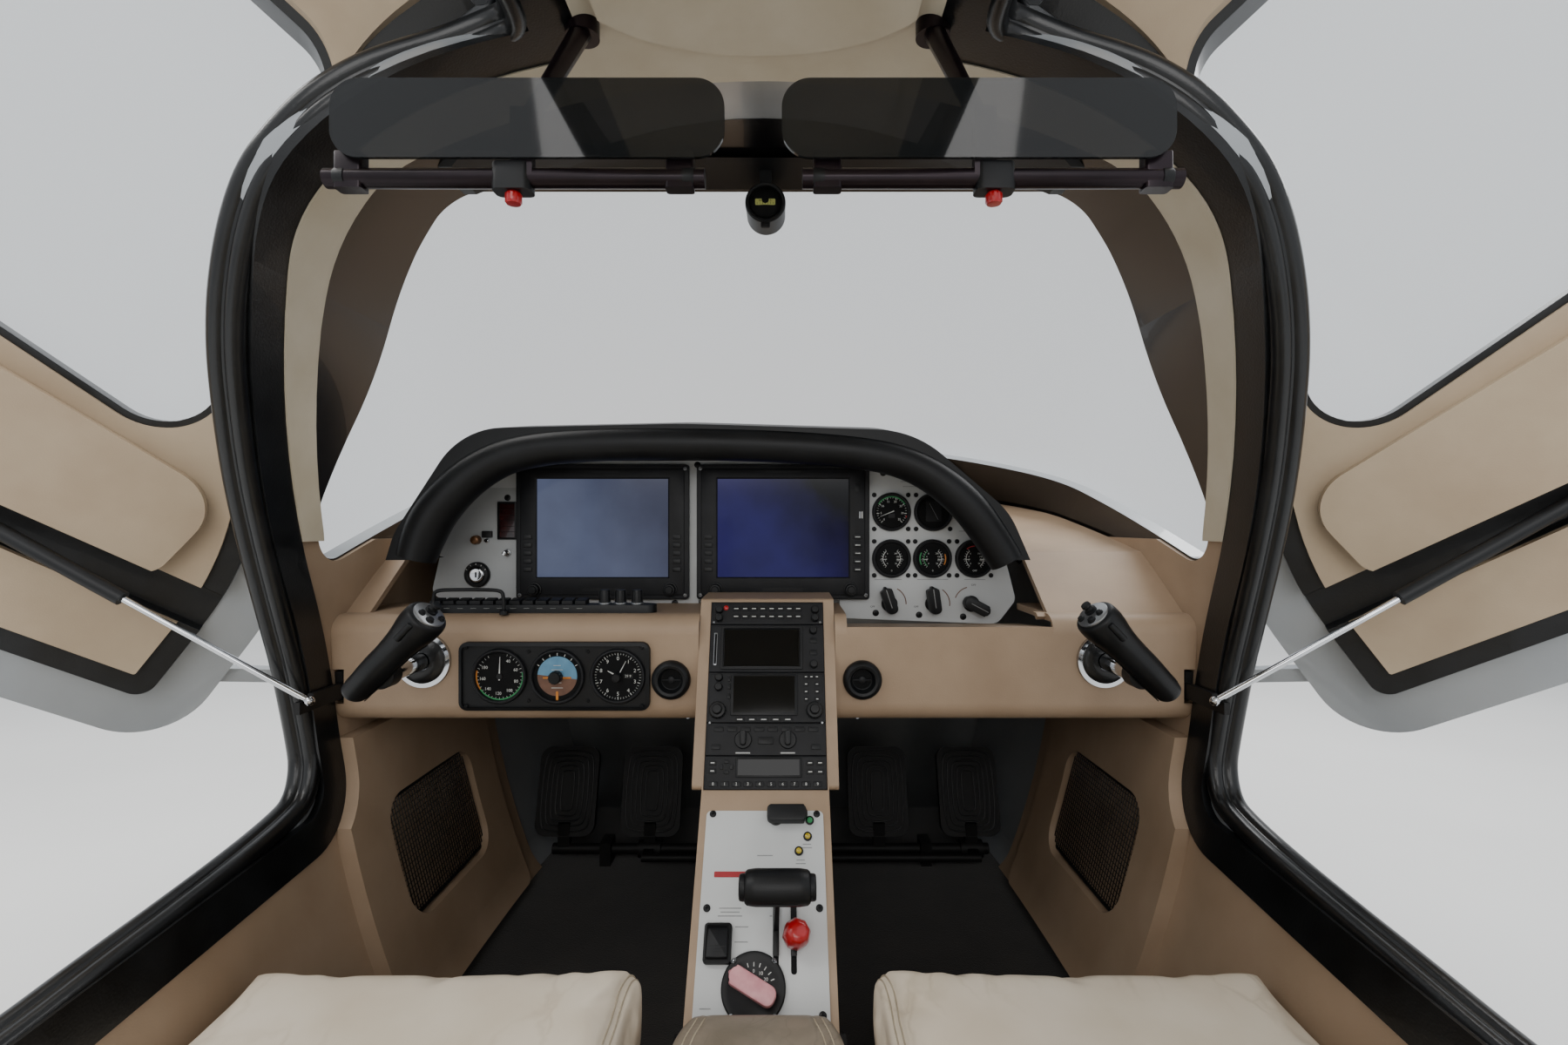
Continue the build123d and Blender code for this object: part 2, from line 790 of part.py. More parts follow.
# Knobs, key switch and toggles on the panel
with BuildPart() as panel_controls:
    for x in (198, 268.5, 330):
        block((x - 9, -22, 630), (x + 9, 0, 668))
    with Locations((-466, -5, 696)):
        Cylinder(20.5, 10, rotation=(90, 0, 0))
    with Locations((-418, -2, 783)):
        Box(32, 4, 60)
    with Locations((-467, -8, 752), (-418, -8, 731), (323, -8, 780)):
        Cylinder(7, 16, rotation=(90, 0, 0))
save(panel_controls.part, "panel_controls")

# Row of rocker switches on the bolster
with BuildPart() as switch_row:
    block((-509, -126, bolster_top_z), (-157, -98, bolster_top_z + 12))
    with Locations(*((-490 + 30 * i, -118, bolster_top_z + 12) for i in range(8))):
        Box(20, 12, 10)
    with Locations(*((-226 + 22 * i, -130, bolster_top_z + 9) for i in range(3))):
        Cylinder(7.5, 12, rotation=(90, 0, 0))
save(switch_row.part, "switch_row")

# Standby instruments
with BuildPart() as standby_cluster:
    block((-423, bolster_face_y - 8, 519), (-158, bolster_face_y, 614))
    with Locations(*((x, bolster_face_y - 9, z) for x, z in standby_places)):
        Cylinder(38, 6, rotation=(90, 0, 0))
    with Locations(*((x, bolster_face_y - 11, z) for x, z in standby_places)):
        Cylinder(34, 8, rotation=(90, 0, 0), mode=Mode.SUBTRACT)
save(standby_cluster.part, "standby_cluster")

# Two air vents
with BuildPart() as air_vents:
    with Locations((console_x - 133, bolster_face_y - 5, 561), (console_x + 133, bolster_face_y - 5, 561)):
        Cylinder(27, 10, rotation=(90, 0, 0))
    with Locations((console_x - 133, bolster_face_y - 11, 561), (console_x + 133, bolster_face_y - 11, 561)):
        Cylinder(16, 22, rotation=(90, 0, 0))
save(air_vents.part, "air_vents")

# Console: column for the avionics and a sloping part behind it
stack_angle = math.radians(stack_tilt)
stack_plane = Plane(origin=(console_x, stack_top_y, stack_top_z), x_dir=(1, 0, 0),
                    z_dir=(0, -math.cos(stack_angle), math.sin(stack_angle)))
stack_length = sum(stack_units)
stack_foot_y = stack_top_y - stack_length * math.sin(stack_angle)
stack_foot_z = stack_top_z - stack_length * math.cos(stack_angle)
slope_angle = math.radians(console_slope_angle)
slope_plane = Plane(origin=(console_x, console_slope_top_y, console_slope_top_z), x_dir=(1, 0, 0),
                    z_dir=(0, -math.sin(slope_angle), math.cos(slope_angle)))
slope_foot_y = console_slope_top_y - console_slope_length * math.cos(slope_angle)
slope_foot_z = console_slope_top_z - console_slope_length * math.sin(slope_angle)
column_top_z = stack_top_z + 5.0
column_top_y = stack_top_y + 5.0 * math.tan(stack_angle)
console_rear_y = armrest_front_y + seat_gap
column_back_y = -display_thickness - 14.0
console_outline = (
    (-seat_gap, bolster_top_z - 4.0, 0.0),
    (column_back_y, bolster_top_z - 4.0, 0.0),
    (column_back_y, column_top_z, 0.0),
    (column_top_y, column_top_z, 6.0),
    (stack_foot_y, stack_foot_z, 0.0),
    (console_slope_top_y, console_slope_top_z, 0.0),
    (slope_foot_y, slope_foot_z, 12.0),
    (console_rear_y, slope_foot_z - 6, 0.0),
    (console_rear_y, floor_top_z, 0.0),
    (console_front_y, floor_top_z, 0.0),
    (console_front_y, bolster_bottom_z, 0.0),
    (-seat_gap, bolster_bottom_z, 0.0),
)
cheek_outline = (
    (-seat_gap, bolster_top_z - 4.0, 0.0),
    (column_back_y, bolster_top_z - 4.0, 0.0),
    (column_back_y, column_top_z, 0.0),
    (column_top_y, column_top_z, 6.0),
    (stack_foot_y, stack_foot_z, 6.0),
    (stack_foot_y + 60, stack_foot_z - 20, 0.0),
    (-seat_gap, bolster_bottom_z, 0.0),
)
console_face = rounded_face(console_outline)
console_hollow_face = rounded_face(console_outline, -console_wall)
cheek_face = rounded_face(cheek_outline)
with BuildPart() as console_space:
    run_across(console_hollow_face, console_x - console_half_width + console_wall,
               console_x + console_half_width - console_wall)
    block((console_x - console_half_width + console_wall, -410, 60),
          (console_x + console_half_width - console_wall, console_front_y + 10, 200))

with BuildPart() as center_console:
    run_across(console_face, console_x - console_half_width, console_x + console_half_width)
    run_across(cheek_face, console_x - column_half_width, console_x + column_half_width)
    add(console_space.part, mode=Mode.SUBTRACT)
    with BuildSketch(stack_plane):
        with Locations((0, -stack_length / 2)):
            Rectangle(stack_width + 2 * stack_gap, stack_length + 2 * stack_gap)
    extrude(amount=-stack_depth - 2, mode=Mode.SUBTRACT)
save(center_console.part, "center_console")

# Avionics units in the column
with BuildPart() as avionics_stack:
    top = 0.0
    for height in stack_units:
        with BuildSketch(stack_plane.offset(2)):
            with Locations((0, -top - height / 2)):
                Rectangle(stack_width, height - stack_gap)
        extrude(amount=-stack_depth)
        top = top + height
save(avionics_stack.part, "avionics_stack")

# Silver plate on the slope and the controls on it
with BuildPart() as console_plate:
    with BuildSketch(slope_plane):
        with Locations((0, -console_plate_length / 2)):
            RectangleRounded(console_plate_width, console_plate_length - 4, 6)
    extrude(amount=console_plate_thickness)
save(console_plate.part, "console_plate")

plate_top = slope_plane.offset(console_plate_thickness)
with BuildPart() as console_controls:
    with BuildSketch(plate_top):
        with Locations((27, -10)):
            Circle(9)
        with Locations((-49, -146)):
            RectangleRounded(31, 36, 3)
        with Locations((-9, -190)):
            Circle(33.5)
        with Locations((53, -10), (50, -30), (39, -45)):
            Circle(5)
    extrude(amount=6)
    with BuildSketch(plate_top.offset(6)):
        with Locations((12, -12)):
            Rectangle(48, 14)
        with Locations((-9, -190)):
            Rectangle(20, 58)
    extrude(amount=12)
save(console_controls.part, "console_controls")

# Throttle lever with its cross grip, and the mixture lever
slot_cover = 3.0
throttle_grip = Vector(21, -365, 382)
mixture_grip = Vector(42, -357, 327)


def lever_face(low_along, high_along, target, half_thickness):
    """Side-view face of a lever that runs from the slot's cover to its grip."""
    low = slope_plane.from_local_coords(Vector(0, -low_along, console_plate_thickness + slot_cover - 1))
    high = slope_plane.from_local_coords(Vector(0, -high_along, console_plate_thickness + slot_cover - 1))
    with BuildSketch() as face:
        with BuildLine():
            Polyline((low.Y, low.Z), (high.Y, high.Z), (target.Y + half_thickness, target.Z),
                     (target.Y - half_thickness, target.Z), close=True)
        make_face()
    return face.sketch


throttle_face = lever_face(142, 122, throttle_grip, 7)
mixture_face = lever_face(140, 124, mixture_grip, 6)
with BuildPart() as throttle_lever:
    with BuildSketch(plate_top):
        with Locations((15, -135)):
            Rectangle(7, 50)
    extrude(amount=slot_cover)
    run_across(throttle_face, console_x + 12.5, console_x + 17.5)
    with Locations(tuple(throttle_grip)):
        Cylinder(19, 80, rotation=(0, 90, 0))
save(throttle_lever.part, "throttle_lever")

with BuildPart() as mixture_lever:
    with BuildSketch(plate_top):
        with Locations((35, -135)):
            Rectangle(7, 50)
    extrude(amount=slot_cover)
    run_across(mixture_face, console_x + 32.5, console_x + 37.5)
    with Locations(tuple(mixture_grip)):
        Box(29, 22, 32)
save(mixture_lever.part, "mixture_lever")

# Armrest box with its lid between the seats
armrest_low = floor_top_z + seat_gap
lid_low_z = armrest_top_z - armrest_lid_thickness
armrest_pin_y = armrest_rear_y - 8.0
armrest_pin_z = lid_low_z - 6.0
bin_half_width = armrest_half_width - armrest_wall
with BuildPart() as armrest_box:
    block((console_x - armrest_half_width, armrest_rear_y, armrest_low),
          (console_x + armrest_half_width, armrest_front_y, lid_low_z - seat_gap))
    block((console_x - bin_half_width, armrest_rear_y + armrest_wall, armrest_low + armrest_wall),
          (console_x + bin_half_width, armrest_front_y - armrest_wall, lid_low_z + 5), Mode.SUBTRACT)
    with Locations(*((console_x + side * 45, armrest_pin_y, armrest_pin_z) for side in (-1, 1))):
        Cylinder(7.5, 30, rotation=(0, 90, 0))
    with Locations((console_x, armrest_pin_y, armrest_pin_z)):
        Cylinder(armrest_pin_radius, 100, rotation=(0, 90, 0))
save(armrest_box.part, "armrest_box")

with BuildPart() as armrest_lid:
    block((console_x - armrest_half_width, armrest_rear_y + 2, lid_low_z),
          (console_x + armrest_half_width, armrest_front_y, armrest_top_z))
    fillet(armrest_lid.edges().group_by(Axis.Z)[-1], radius=14)
    block((console_x - 26, armrest_pin_y - 7, armrest_pin_z),
          (console_x + 26, armrest_rear_y + 12, lid_low_z + 12))
    block((console_x - 26.5, armrest_rear_y, 0),
          (console_x + 26.5, armrest_rear_y + 13, lid_low_z), Mode.SUBTRACT)
    with Locations((console_x, armrest_pin_y, armrest_pin_z)):
        Cylinder(7, 52, rotation=(0, 90, 0))
        Cylinder(armrest_pin_radius + pin_gap, 60, rotation=(0, 90, 0), mode=Mode.SUBTRACT)
save(armrest_lid.part, "armrest_lid")

# Yoke rings in the bolster, sliding shafts and grips
with BuildPart() as yoke_ring:
    with Locations((-yoke_x, bolster_face_y + 6, yoke_z)):
        Cylinder(yoke_ring_radius - seat_gap, 22, rotation=(90, 0, 0))
        Cylinder(yoke_shaft_radius + pin_gap, 60, rotation=(90, 0, 0), mode=Mode.SUBTRACT)
save_both(yoke_ring.part, "yoke_rings")

shaft_rear_y = yoke_grip_y + 30.0
shaft_front_y = 40.0
with BuildPart() as yoke_shaft:
    with Locations((-yoke_x, (shaft_rear_y + shaft_front_y) / 2, yoke_z)):
        Cylinder(yoke_shaft_radius, shaft_front_y - shaft_rear_y, rotation=(90, 0, 0))
save_pair(yoke_shaft.part, "yoke_shaft")

grip_angle = math.radians(yoke_grip_tilt)
grip_dir = Vector(math.sin(grip_angle), -0.12, math.cos(grip_angle)).normalized()
grip_centre = Vector(-yoke_x + 8, yoke_grip_y, yoke_z + 20)
grip_plane = Plane(origin=grip_centre - grip_dir * (yoke_grip_length / 2), x_dir=(0, 1, 0), z_dir=grip_dir)
with BuildPart() as yoke_grip:
    with BuildSketch(grip_plane):
        Ellipse(19, 16)
    with BuildSketch(grip_plane.offset(yoke_grip_length * 0.5)):
        Ellipse(23, 18)
    with BuildSketch(grip_plane.offset(yoke_grip_length)):
        Ellipse(24, 22)
    loft()
    with BuildSketch(grip_plane.offset(yoke_grip_length)):
        RectangleRounded(56, 50, 16)
    extrude(amount=26)
    with Locations((-yoke_x, shaft_rear_y - 12 - seat_gap, yoke_z)):
        Cylinder(16, 24, rotation=(90, 0, 0))
save_pair(yoke_grip.part, "yoke_grip")

# Rudder pedals: the left pads on one torque tube, the right pads on sleeves joined by a bar
lean = math.radians(pedal_lean)
for side in ("left", "right"):
    with BuildPart() as pedals:
        if side == "left":
            with Locations((0, pedal_tube_y, pedal_tube_z)):
                Cylinder(pedal_tube_radius, 2 * pedal_tube_half_length, rotation=(0, 90, 0))
        for x in pedal_pad_x[side]:
            pad_plane = Plane(origin=(x, pedal_tube_y + 4, pedal_pad_z), x_dir=(1, 0, 0),
                              z_dir=(0, -math.cos(lean), math.sin(lean)))
            with BuildSketch(pad_plane) as pad:
                with Locations((0, pedal_height / 2)):
                    RectangleRounded(pedal_width, pedal_height, 24)
            extrude(pad.sketch, amount=pedal_thickness)
            if side == "right":
                with Locations((x, pedal_tube_y, pedal_tube_z)):
                    Cylinder(pedal_sleeve_radius, pedal_sleeve_length, rotation=(0, 90, 0))
                block((x - 10, pedal_bar_y, pedal_tube_z - 7), (x + 10, pedal_tube_y, pedal_tube_z + 7))
            block((x - 12, pedal_tube_y - 9, pedal_tube_z), (x + 12, pedal_tube_y + 9, pedal_pad_z + 30))
        if side == "right":
            bar_from, bar_to = pedal_pad_x[side]
            with Locations(((bar_from + bar_to) / 2, pedal_bar_y, pedal_tube_z)):
                Cylinder(pedal_bar_radius, bar_to - bar_from + 20, rotation=(0, 90, 0))
            with Locations((0, pedal_tube_y, pedal_tube_z)):
                Cylinder(pedal_tube_radius + pin_gap, 1100, rotation=(0, 90, 0), mode=Mode.SUBTRACT)
    save(pedals.part, "pedals_" + side)

with BuildPart() as pedal_bearings:
    for x in pedal_bearing_x:
        block((x - pedal_bearing_width / 2, pedal_tube_y - 22, floor_top_z),
              (x + pedal_bearing_width / 2, pedal_tube_y + 22, pedal_tube_z + 20))
    with Locations((0, pedal_tube_y, pedal_tube_z)):
        Cylinder(pedal_tube_radius + pin_gap, 1100, rotation=(0, 90, 0), mode=Mode.SUBTRACT)
save(pedal_bearings.part, "pedal_bearings")

# Seat rails on the floor
rail_top_z = floor_top_z + rail_height
with BuildPart() as seat_rails:
    for x in (-rail_x[1], -rail_x[0], rail_x[0], rail_x[1]):
        block((x - rail_width / 2, rail_rear_y, floor_top_z), (x + rail_width / 2, rail_front_y, rail_top_z))
save(seat_rails.part, "seat_rails")

# Seats: a base on the rails, a cushion and a reclining back
cushion_low_z = seat_top_z - seat_cushion_thickness
pan_top_z = cushion_low_z - seat_gap
cushion_rear_y = seat_front_y - seat_cushion_length
pivot_inner_x = 162.0
with BuildPart() as seat_base:
    block((-seat_centre_x - seat_low_outer, cushion_rear_y + 8, pan_top_z - seat_plate),
          (-seat_centre_x + 205, seat_front_y - 30, pan_top_z))
    for x in rail_x:
        block((-x - seat_plate / 2, cushion_rear_y + 8, rail_top_z + seat_gap),
              (-x + seat_plate / 2, seat_front_y - 60, pan_top_z))
        block((-x - rail_width / 2, cushion_rear_y + 8, rail_top_z + seat_gap),
              (-x + rail_width / 2, seat_front_y - 60, rail_top_z + 12))
    for side in (-1, 1):
        x = -seat_centre_x + side * pivot_inner_x
        block((x - seat_plate / 2, back_pivot_y - 20, pan_top_z - 40),
              (x + seat_plate / 2, cushion_rear_y + 60, pan_top_z))
        block((x - seat_plate / 2, back_pivot_y - 20, pan_top_z - 40),
              (x + seat_plate / 2, back_pivot_y + 14, back_pivot_z + 20))
        with Locations((x + side * 12, back_pivot_y, back_pivot_z)):
            Cylinder(back_pin_radius, 24, rotation=(0, 90, 0))
save_pair(seat_base.part, "seat_base")

with BuildPart() as seat_cushion:
    with BuildSketch(Plane.XZ.offset(-seat_front_y)):
        with BuildLine():
            Polyline((-seat_centre_x - seat_low_outer, cushion_low_z),
                     (-seat_centre_x - seat_width / 2, seat_top_z - 40),
                     (-seat_centre_x - seat_width / 2, seat_top_z),
                     (-seat_centre_x + seat_width / 2, seat_top_z),
                     (-seat_centre_x + seat_width / 2, cushion_low_z), close=True)
        make_face()
    extrude(amount=seat_cushion_length)
    fillet(seat_cushion.edges().group_by(Axis.Z)[-1], radius=26)
save_pair(seat_cushion.part, "seat_cushion")

recline = math.radians(back_recline)
back_plane = Plane(origin=(-seat_centre_x, back_pivot_y, back_pivot_z), x_dir=(1, 0, 0),
                   z_dir=(0, -math.sin(recline), math.cos(recline)))
with BuildPart() as seat_back:
    with BuildSketch(back_plane.offset(back_start)):
        RectangleRounded(back_width, back_thickness, 30)
    extrude(amount=back_length - back_start)
    for side in (-1, 1):
        arm_x = side * (pivot_inner_x + seat_plate + 1.5)
        for low, high, arm_y, arm_depth in ((-18, 18, 0, 30), (8, back_start + 2, -21, 34)):
            with BuildSketch(back_plane.offset(low)) as arm:
                with Locations((arm_x, arm_y)):
                    Rectangle(seat_plate, arm_depth)
            extrude(arm.sketch, amount=high - low)
    with Locations((-seat_centre_x, back_pivot_y, back_pivot_z)):
        Cylinder(back_pin_radius + pin_gap, 600, rotation=(0, 90, 0), mode=Mode.SUBTRACT)
save_pair(seat_back.part, "seat_back")

# Sun visors: tinted plates on rods that hang on arms from the roof
with BuildPart() as visor_plate:
    with BuildSketch(Plane.XZ.offset(-visor_y)):
        with Locations((-205, 1147)):
            RectangleRounded(358, 72, 26)
    extrude(amount=visor_thickness)
save_both(visor_plate.part, "visor_plates")

arm_top = Vector(-186, -385, 1303)
arm_foot = Vector(-212, visor_y + 12, 1150)
with BuildPart() as visor_arm:
    with BuildSketch(Plane(origin=arm_top, x_dir=(1, 0, 0), z_dir=arm_foot - arm_top)):
        Circle(11)
    with BuildSketch(Plane(origin=arm_foot, x_dir=(1, 0, 0), z_dir=arm_foot - arm_top)):
        Circle(8)
    loft()
    with Locations(tuple(arm_top)):
        Cylinder(18, 16)
    with Locations((-220, visor_y + visor_rod_radius + seat_gap, visor_rod_z)):
        Cylinder(visor_rod_radius, 350, rotation=(0, 90, 0))
    block((-222, visor_y + seat_gap, visor_rod_z), (-202, visor_y + 10, 1160))
    add(pad_outside, mode=Mode.INTERSECT)
save_both(visor_arm.part, "visor_arms")

# Compass hung from the windscreen header
compass_space_body = whole_body(header_inner + seat_gap)
with BuildPart() as compass:
    with Locations((0, -52, 1262)):
        Cylinder(30, 46, rotation=(90, 0, 0))
    block((-9, -62, 1280), (9, -42, 1345))
    add(compass_space_body, mode=Mode.INTERSECT)
save(compass.part, "compass")

# Ball brackets of the door struts: a plate inboard of the doorway's edge, whose low tongue carries the ball
bracket_plate_x = strut_ball.X - strut_end_radius - seat_gap
bracket_step_y = strut_ball.Y + 18.0
bracket_front_y = -100.0
with BuildPart() as strut_bracket:
    block((-610, -148, strut_ball.Z - 20), (-590.6, bracket_front_y, strut_ball.Z + 20))
    add(side_lined_body, mode=Mode.INTERSECT)
    block((bracket_plate_x - bracket_plate, bracket_step_y, strut_ball.Z - 16),
          (bracket_plate_x, -140, strut_ball.Z + 5))
    block((bracket_plate_x - bracket_plate, strut_ball.Y - 8, strut_ball.Z - 16),
          (bracket_plate_x, bracket_step_y, strut_ball.Z - 0.5))
save_both(strut_bracket.part, "strut_brackets")

# Door hinges: fixed lugs with their pins, and the straps that the doors carry
strap_body = whole_body(-strap_high)
strap_under_body = whole_body(-strap_low, 10)
strap_foot_body = cabin_body(5, 10)
lug_body = whole_body(-20)
with BuildPart() as hinge_straps:
    for along, lug_side, strap_rear_y, foot_front_y in hinge_places:
        centre = hinge_low + hinge_direction * along
        for front_y, under_body in ((centre.Y - 3, strap_under_body), (foot_front_y, strap_foot_body)):
            with BuildPart() as strap:
                with Locations(Plane(origin=centre, z_dir=hinge_direction).location):
                    Box(600, 600, hinge_knuckle_length)
                block((-wide, strap_rear_y, 0), (0, front_y, 1500), Mode.INTERSECT)
                add(strap_body, mode=Mode.INTERSECT)
                add(under_body, mode=Mode.SUBTRACT)
            add(strap.part)
        with Locations(Plane(origin=centre, z_dir=hinge_direction).location):
            Cylinder(hinge_knuckle_radius, hinge_knuckle_length)

with BuildPart() as hinge_lugs:
    for along, lug_side, strap_rear_y, foot_front_y in hinge_places:
        centre = hinge_low + hinge_direction * along
        lug_reach = lug_side * (hinge_knuckle_length / 2 + 1 + hinge_lug_length / 2)
        lug_place = Plane(origin=centre + hinge_direction * lug_reach, z_dir=hinge_direction).location
        with BuildPart() as lug:
            with Locations(lug_place):
                Box(600, 600, hinge_lug_length)
            block((-wide, centre.Y - 6, 0), (0, centre.Y + 34, 1500), Mode.INTERSECT)
            add(lug_body, mode=Mode.INTERSECT)
            add(outer_body, mode=Mode.SUBTRACT)
            with Locations(lug_place):
                Cylinder(hinge_knuckle_radius, hinge_lug_length)
        add(lug.part)
        pin_middle = centre + hinge_direction * (lug_reach / 2)
        with Locations(Plane(origin=pin_middle, z_dir=hinge_direction).location):
            Cylinder(hinge_pin_radius, hinge_knuckle_length + hinge_lug_length + 4)
save_both(hinge_lugs.part, "door_hinges")

# Doors: built closed on the hull, then swung to the open place in which they rest
door_glass_step_body = cabin_body(glass_step, 20)
slot_body = cabin_body(strut_slot_depth, 20)
window_face = rounded_face(window_corners)
window_pane_face = rounded_face(window_corners, glass_lap)
window_rebate_face = rounded_face(window_corners, glass_lap + body_gap)
window_trim_face = rounded_face(window_corners, 8)
slot_face = rounded_face(slot_corners)
armrest_pad_face = rounded_face(armrest_pad_corners)
with BuildPart() as door_pane_space:
    run_across(window_rebate_face, -wide, 0)
    add(door_glass_step_body, mode=Mode.SUBTRACT)

with BuildPart() as door_slot:
    run_across(slot_face, -wide, 0)
    add(slot_body, mode=Mode.INTERSECT)

door_skin_layer = wall_layer(0, door_skin, door_region(0, 0))
door_body_layer = wall_layer(door_skin, door_body_depth, door_region(-door_body_inset, -8))
with BuildPart() as door_closed:
    add(door_skin_layer)
    add(door_body_layer)
    run_across(window_face, -wide, 0, Mode.SUBTRACT)
    add(door_pane_space.part, mode=Mode.SUBTRACT)
    add(door_slot.part, mode=Mode.SUBTRACT)

    add(hinge_straps.part)
    for along, lug_side, strap_rear_y, foot_front_y in hinge_places:
        centre = hinge_low + hinge_direction * along
        with Locations(Plane(origin=centre, z_dir=hinge_direction).location):
            Cylinder(hinge_pin_radius + pin_gap, 3 * hinge_knuckle_length, mode=Mode.SUBTRACT)

with BuildPart() as pad_space:
    run_across(armrest_pad_face, -wide, 0)

with BuildPart() as pane_space:
    run_across(window_pane_face, -wide, 0)

trim_layer = wall_layer(door_body_depth, door_trim_depth, door_region(-86))
armrest_layer = wall_layer(door_trim_depth, armrest_depth, pad_space.part)
pane_layer = wall_layer(0, glass_thickness, pane_space.part)
with BuildPart() as trim_closed:
    add(trim_layer)
    add(armrest_layer)
    run_across(window_trim_face, -wide, 0, Mode.SUBTRACT)
    add(door_slot.part, mode=Mode.SUBTRACT)

save_pair(swing_open(door_closed.part), "door_shell")
save_pair(swing_open(trim_closed.part), "door_trim")
save_pair(swing_open(pane_layer), "door_window")

# Gas struts, in the place that they take with the doors open
strut_eye = Vector(*Vertex(*strut_eye_closed).rotate(door_axis, -door_open_angle).center())
strut_dir = (strut_ball - strut_eye).normalized()
strut_side = strut_dir.cross(Vector(0, 0, 1)).normalized()
strut_plane = Plane(origin=strut_eye, x_dir=strut_side, z_dir=strut_dir)
strut_open_length = (strut_ball - strut_eye).length
with BuildPart() as strut_tube:
    with BuildSketch(strut_plane):
        Circle(strut_tube_radius)
        Circle(strut_rod_radius + pin_gap, mode=Mode.SUBTRACT)
    extrude(amount=strut_tube_length)
    with BuildSketch(strut_plane.offset(-strut_tube_radius)):
        Circle(strut_tube_radius)
    extrude(amount=strut_tube_radius + 2)
save_pair(strut_tube.part, "strut_tube")

with BuildPart() as strut_rod:
    with BuildSketch(strut_plane.offset(strut_open_length - strut_rod_length)):
        Circle(strut_rod_radius)
    extrude(amount=strut_rod_length)
    with Locations(tuple(strut_ball)):
        Sphere(strut_end_radius)
save_pair(strut_rod.part, "strut_rod")
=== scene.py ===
import bpy
import math
from mathutils import Matrix, Vector, kdtree


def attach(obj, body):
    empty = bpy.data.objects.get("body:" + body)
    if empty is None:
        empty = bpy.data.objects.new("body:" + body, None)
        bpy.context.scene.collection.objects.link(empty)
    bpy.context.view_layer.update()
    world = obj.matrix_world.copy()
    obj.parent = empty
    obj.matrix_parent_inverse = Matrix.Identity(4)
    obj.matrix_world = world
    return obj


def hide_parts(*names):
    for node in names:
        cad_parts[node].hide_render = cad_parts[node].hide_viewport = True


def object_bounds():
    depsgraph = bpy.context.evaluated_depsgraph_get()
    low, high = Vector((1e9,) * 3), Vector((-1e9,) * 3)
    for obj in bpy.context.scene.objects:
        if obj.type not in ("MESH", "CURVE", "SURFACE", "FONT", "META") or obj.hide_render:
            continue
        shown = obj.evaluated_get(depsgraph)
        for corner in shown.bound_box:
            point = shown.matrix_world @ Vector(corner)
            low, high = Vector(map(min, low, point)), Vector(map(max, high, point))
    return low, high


# Light aircraft cockpit section: the looks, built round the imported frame. Sizes are in mm.
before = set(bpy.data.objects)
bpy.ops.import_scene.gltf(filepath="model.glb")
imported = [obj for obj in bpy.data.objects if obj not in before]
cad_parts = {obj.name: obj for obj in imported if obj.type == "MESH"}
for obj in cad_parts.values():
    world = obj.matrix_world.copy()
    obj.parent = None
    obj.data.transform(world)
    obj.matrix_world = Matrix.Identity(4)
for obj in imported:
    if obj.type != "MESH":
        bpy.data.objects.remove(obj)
cadBounds = [list(corner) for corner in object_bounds()]
mm = 0.001


def clearSelection():
    if bpy.context.object and bpy.context.object.mode != "OBJECT":
        bpy.ops.object.mode_set(mode="OBJECT")
    bpy.ops.object.select_all(action="DESELECT")


def pick(piece):
    clearSelection()
    piece.select_set(True)
    bpy.context.view_layer.objects.active = piece


def openMesh(piece, kind="face", action="SELECT"):  # edit mode with all or none of its parts selected
    pick(piece)
    bpy.context.tool_settings.mesh_select_mode = [kind == choice for choice in ("point", "edge", "face")]
    bpy.ops.object.mode_set(mode="EDIT")
    bpy.ops.mesh.select_all(action=action)


def closeMesh():
    bpy.ops.object.mode_set(mode="OBJECT")


def openEdges(piece, test):  # edit mode with only the edges that pass the test selected
    openMesh(piece, "edge", "DESELECT")
    closeMesh()
    points = piece.data.vertices
    for edge in piece.data.edges:
        edge.select = test(points[edge.vertices[0]].co, points[edge.vertices[1]].co)
    bpy.ops.object.mode_set(mode="EDIT")


def openFaces(piece, test):  # the same for faces
    openMesh(piece, "face", "DESELECT")
    closeMesh()
    for face in piece.data.polygons:
        face.select = test(face.center, face.normal)
    bpy.ops.object.mode_set(mode="EDIT")


def viewFrame(x, y, z, tilt=90.0, spin=0.0):  # local z comes towards the seats, local y goes up
    lean = Matrix.Rotation(math.radians(tilt), 4, "X")
    return Matrix.Translation((x * mm, y * mm, z * mm)) @ lean @ Matrix.Rotation(math.radians(spin), 4, "Z")


def aimFrame(start, end):  # local z runs from one point to another
    along = (Vector(end) - Vector(start)).normalized()
    return Matrix.Translation(Vector(start) * mm) @ along.to_track_quat("Z", "Y").to_matrix().to_4x4()


def applyPlace(piece, place=None):
    if place is not None:
        piece.matrix_world = place @ piece.matrix_world
    pick(piece)
    bpy.ops.object.transform_apply(location=True, rotation=True, scale=True)
    return piece


def paint(piece, material):
    if material:
        piece.data.materials.clear()
        piece.data.materials.append(material)
    return piece


def addBlock(size, at=(0, 0, 0), corner=0.0, edge=0.4, material=None):
    clearSelection()
    bpy.ops.mesh.primitive_cube_add(size=1, location=Vector(at) * mm)
    block = bpy.context.object
    block.scale = Vector(size) * mm
    bpy.ops.object.transform_apply(location=False, rotation=False, scale=True)
    if corner:
        openEdges(block, lambda a, b: abs(a.z - b.z) > 0.5 * size[2] * mm)
        bpy.ops.mesh.bevel(offset=corner * mm, segments=5, affect="EDGES")
    if edge:
        top = 0.499 * size[2] * mm
        openEdges(block, lambda a, b: a.z > top and b.z > top)
        bpy.ops.mesh.bevel(offset=edge * mm, segments=2, affect="EDGES")
    closeMesh()
    return paint(block, material)


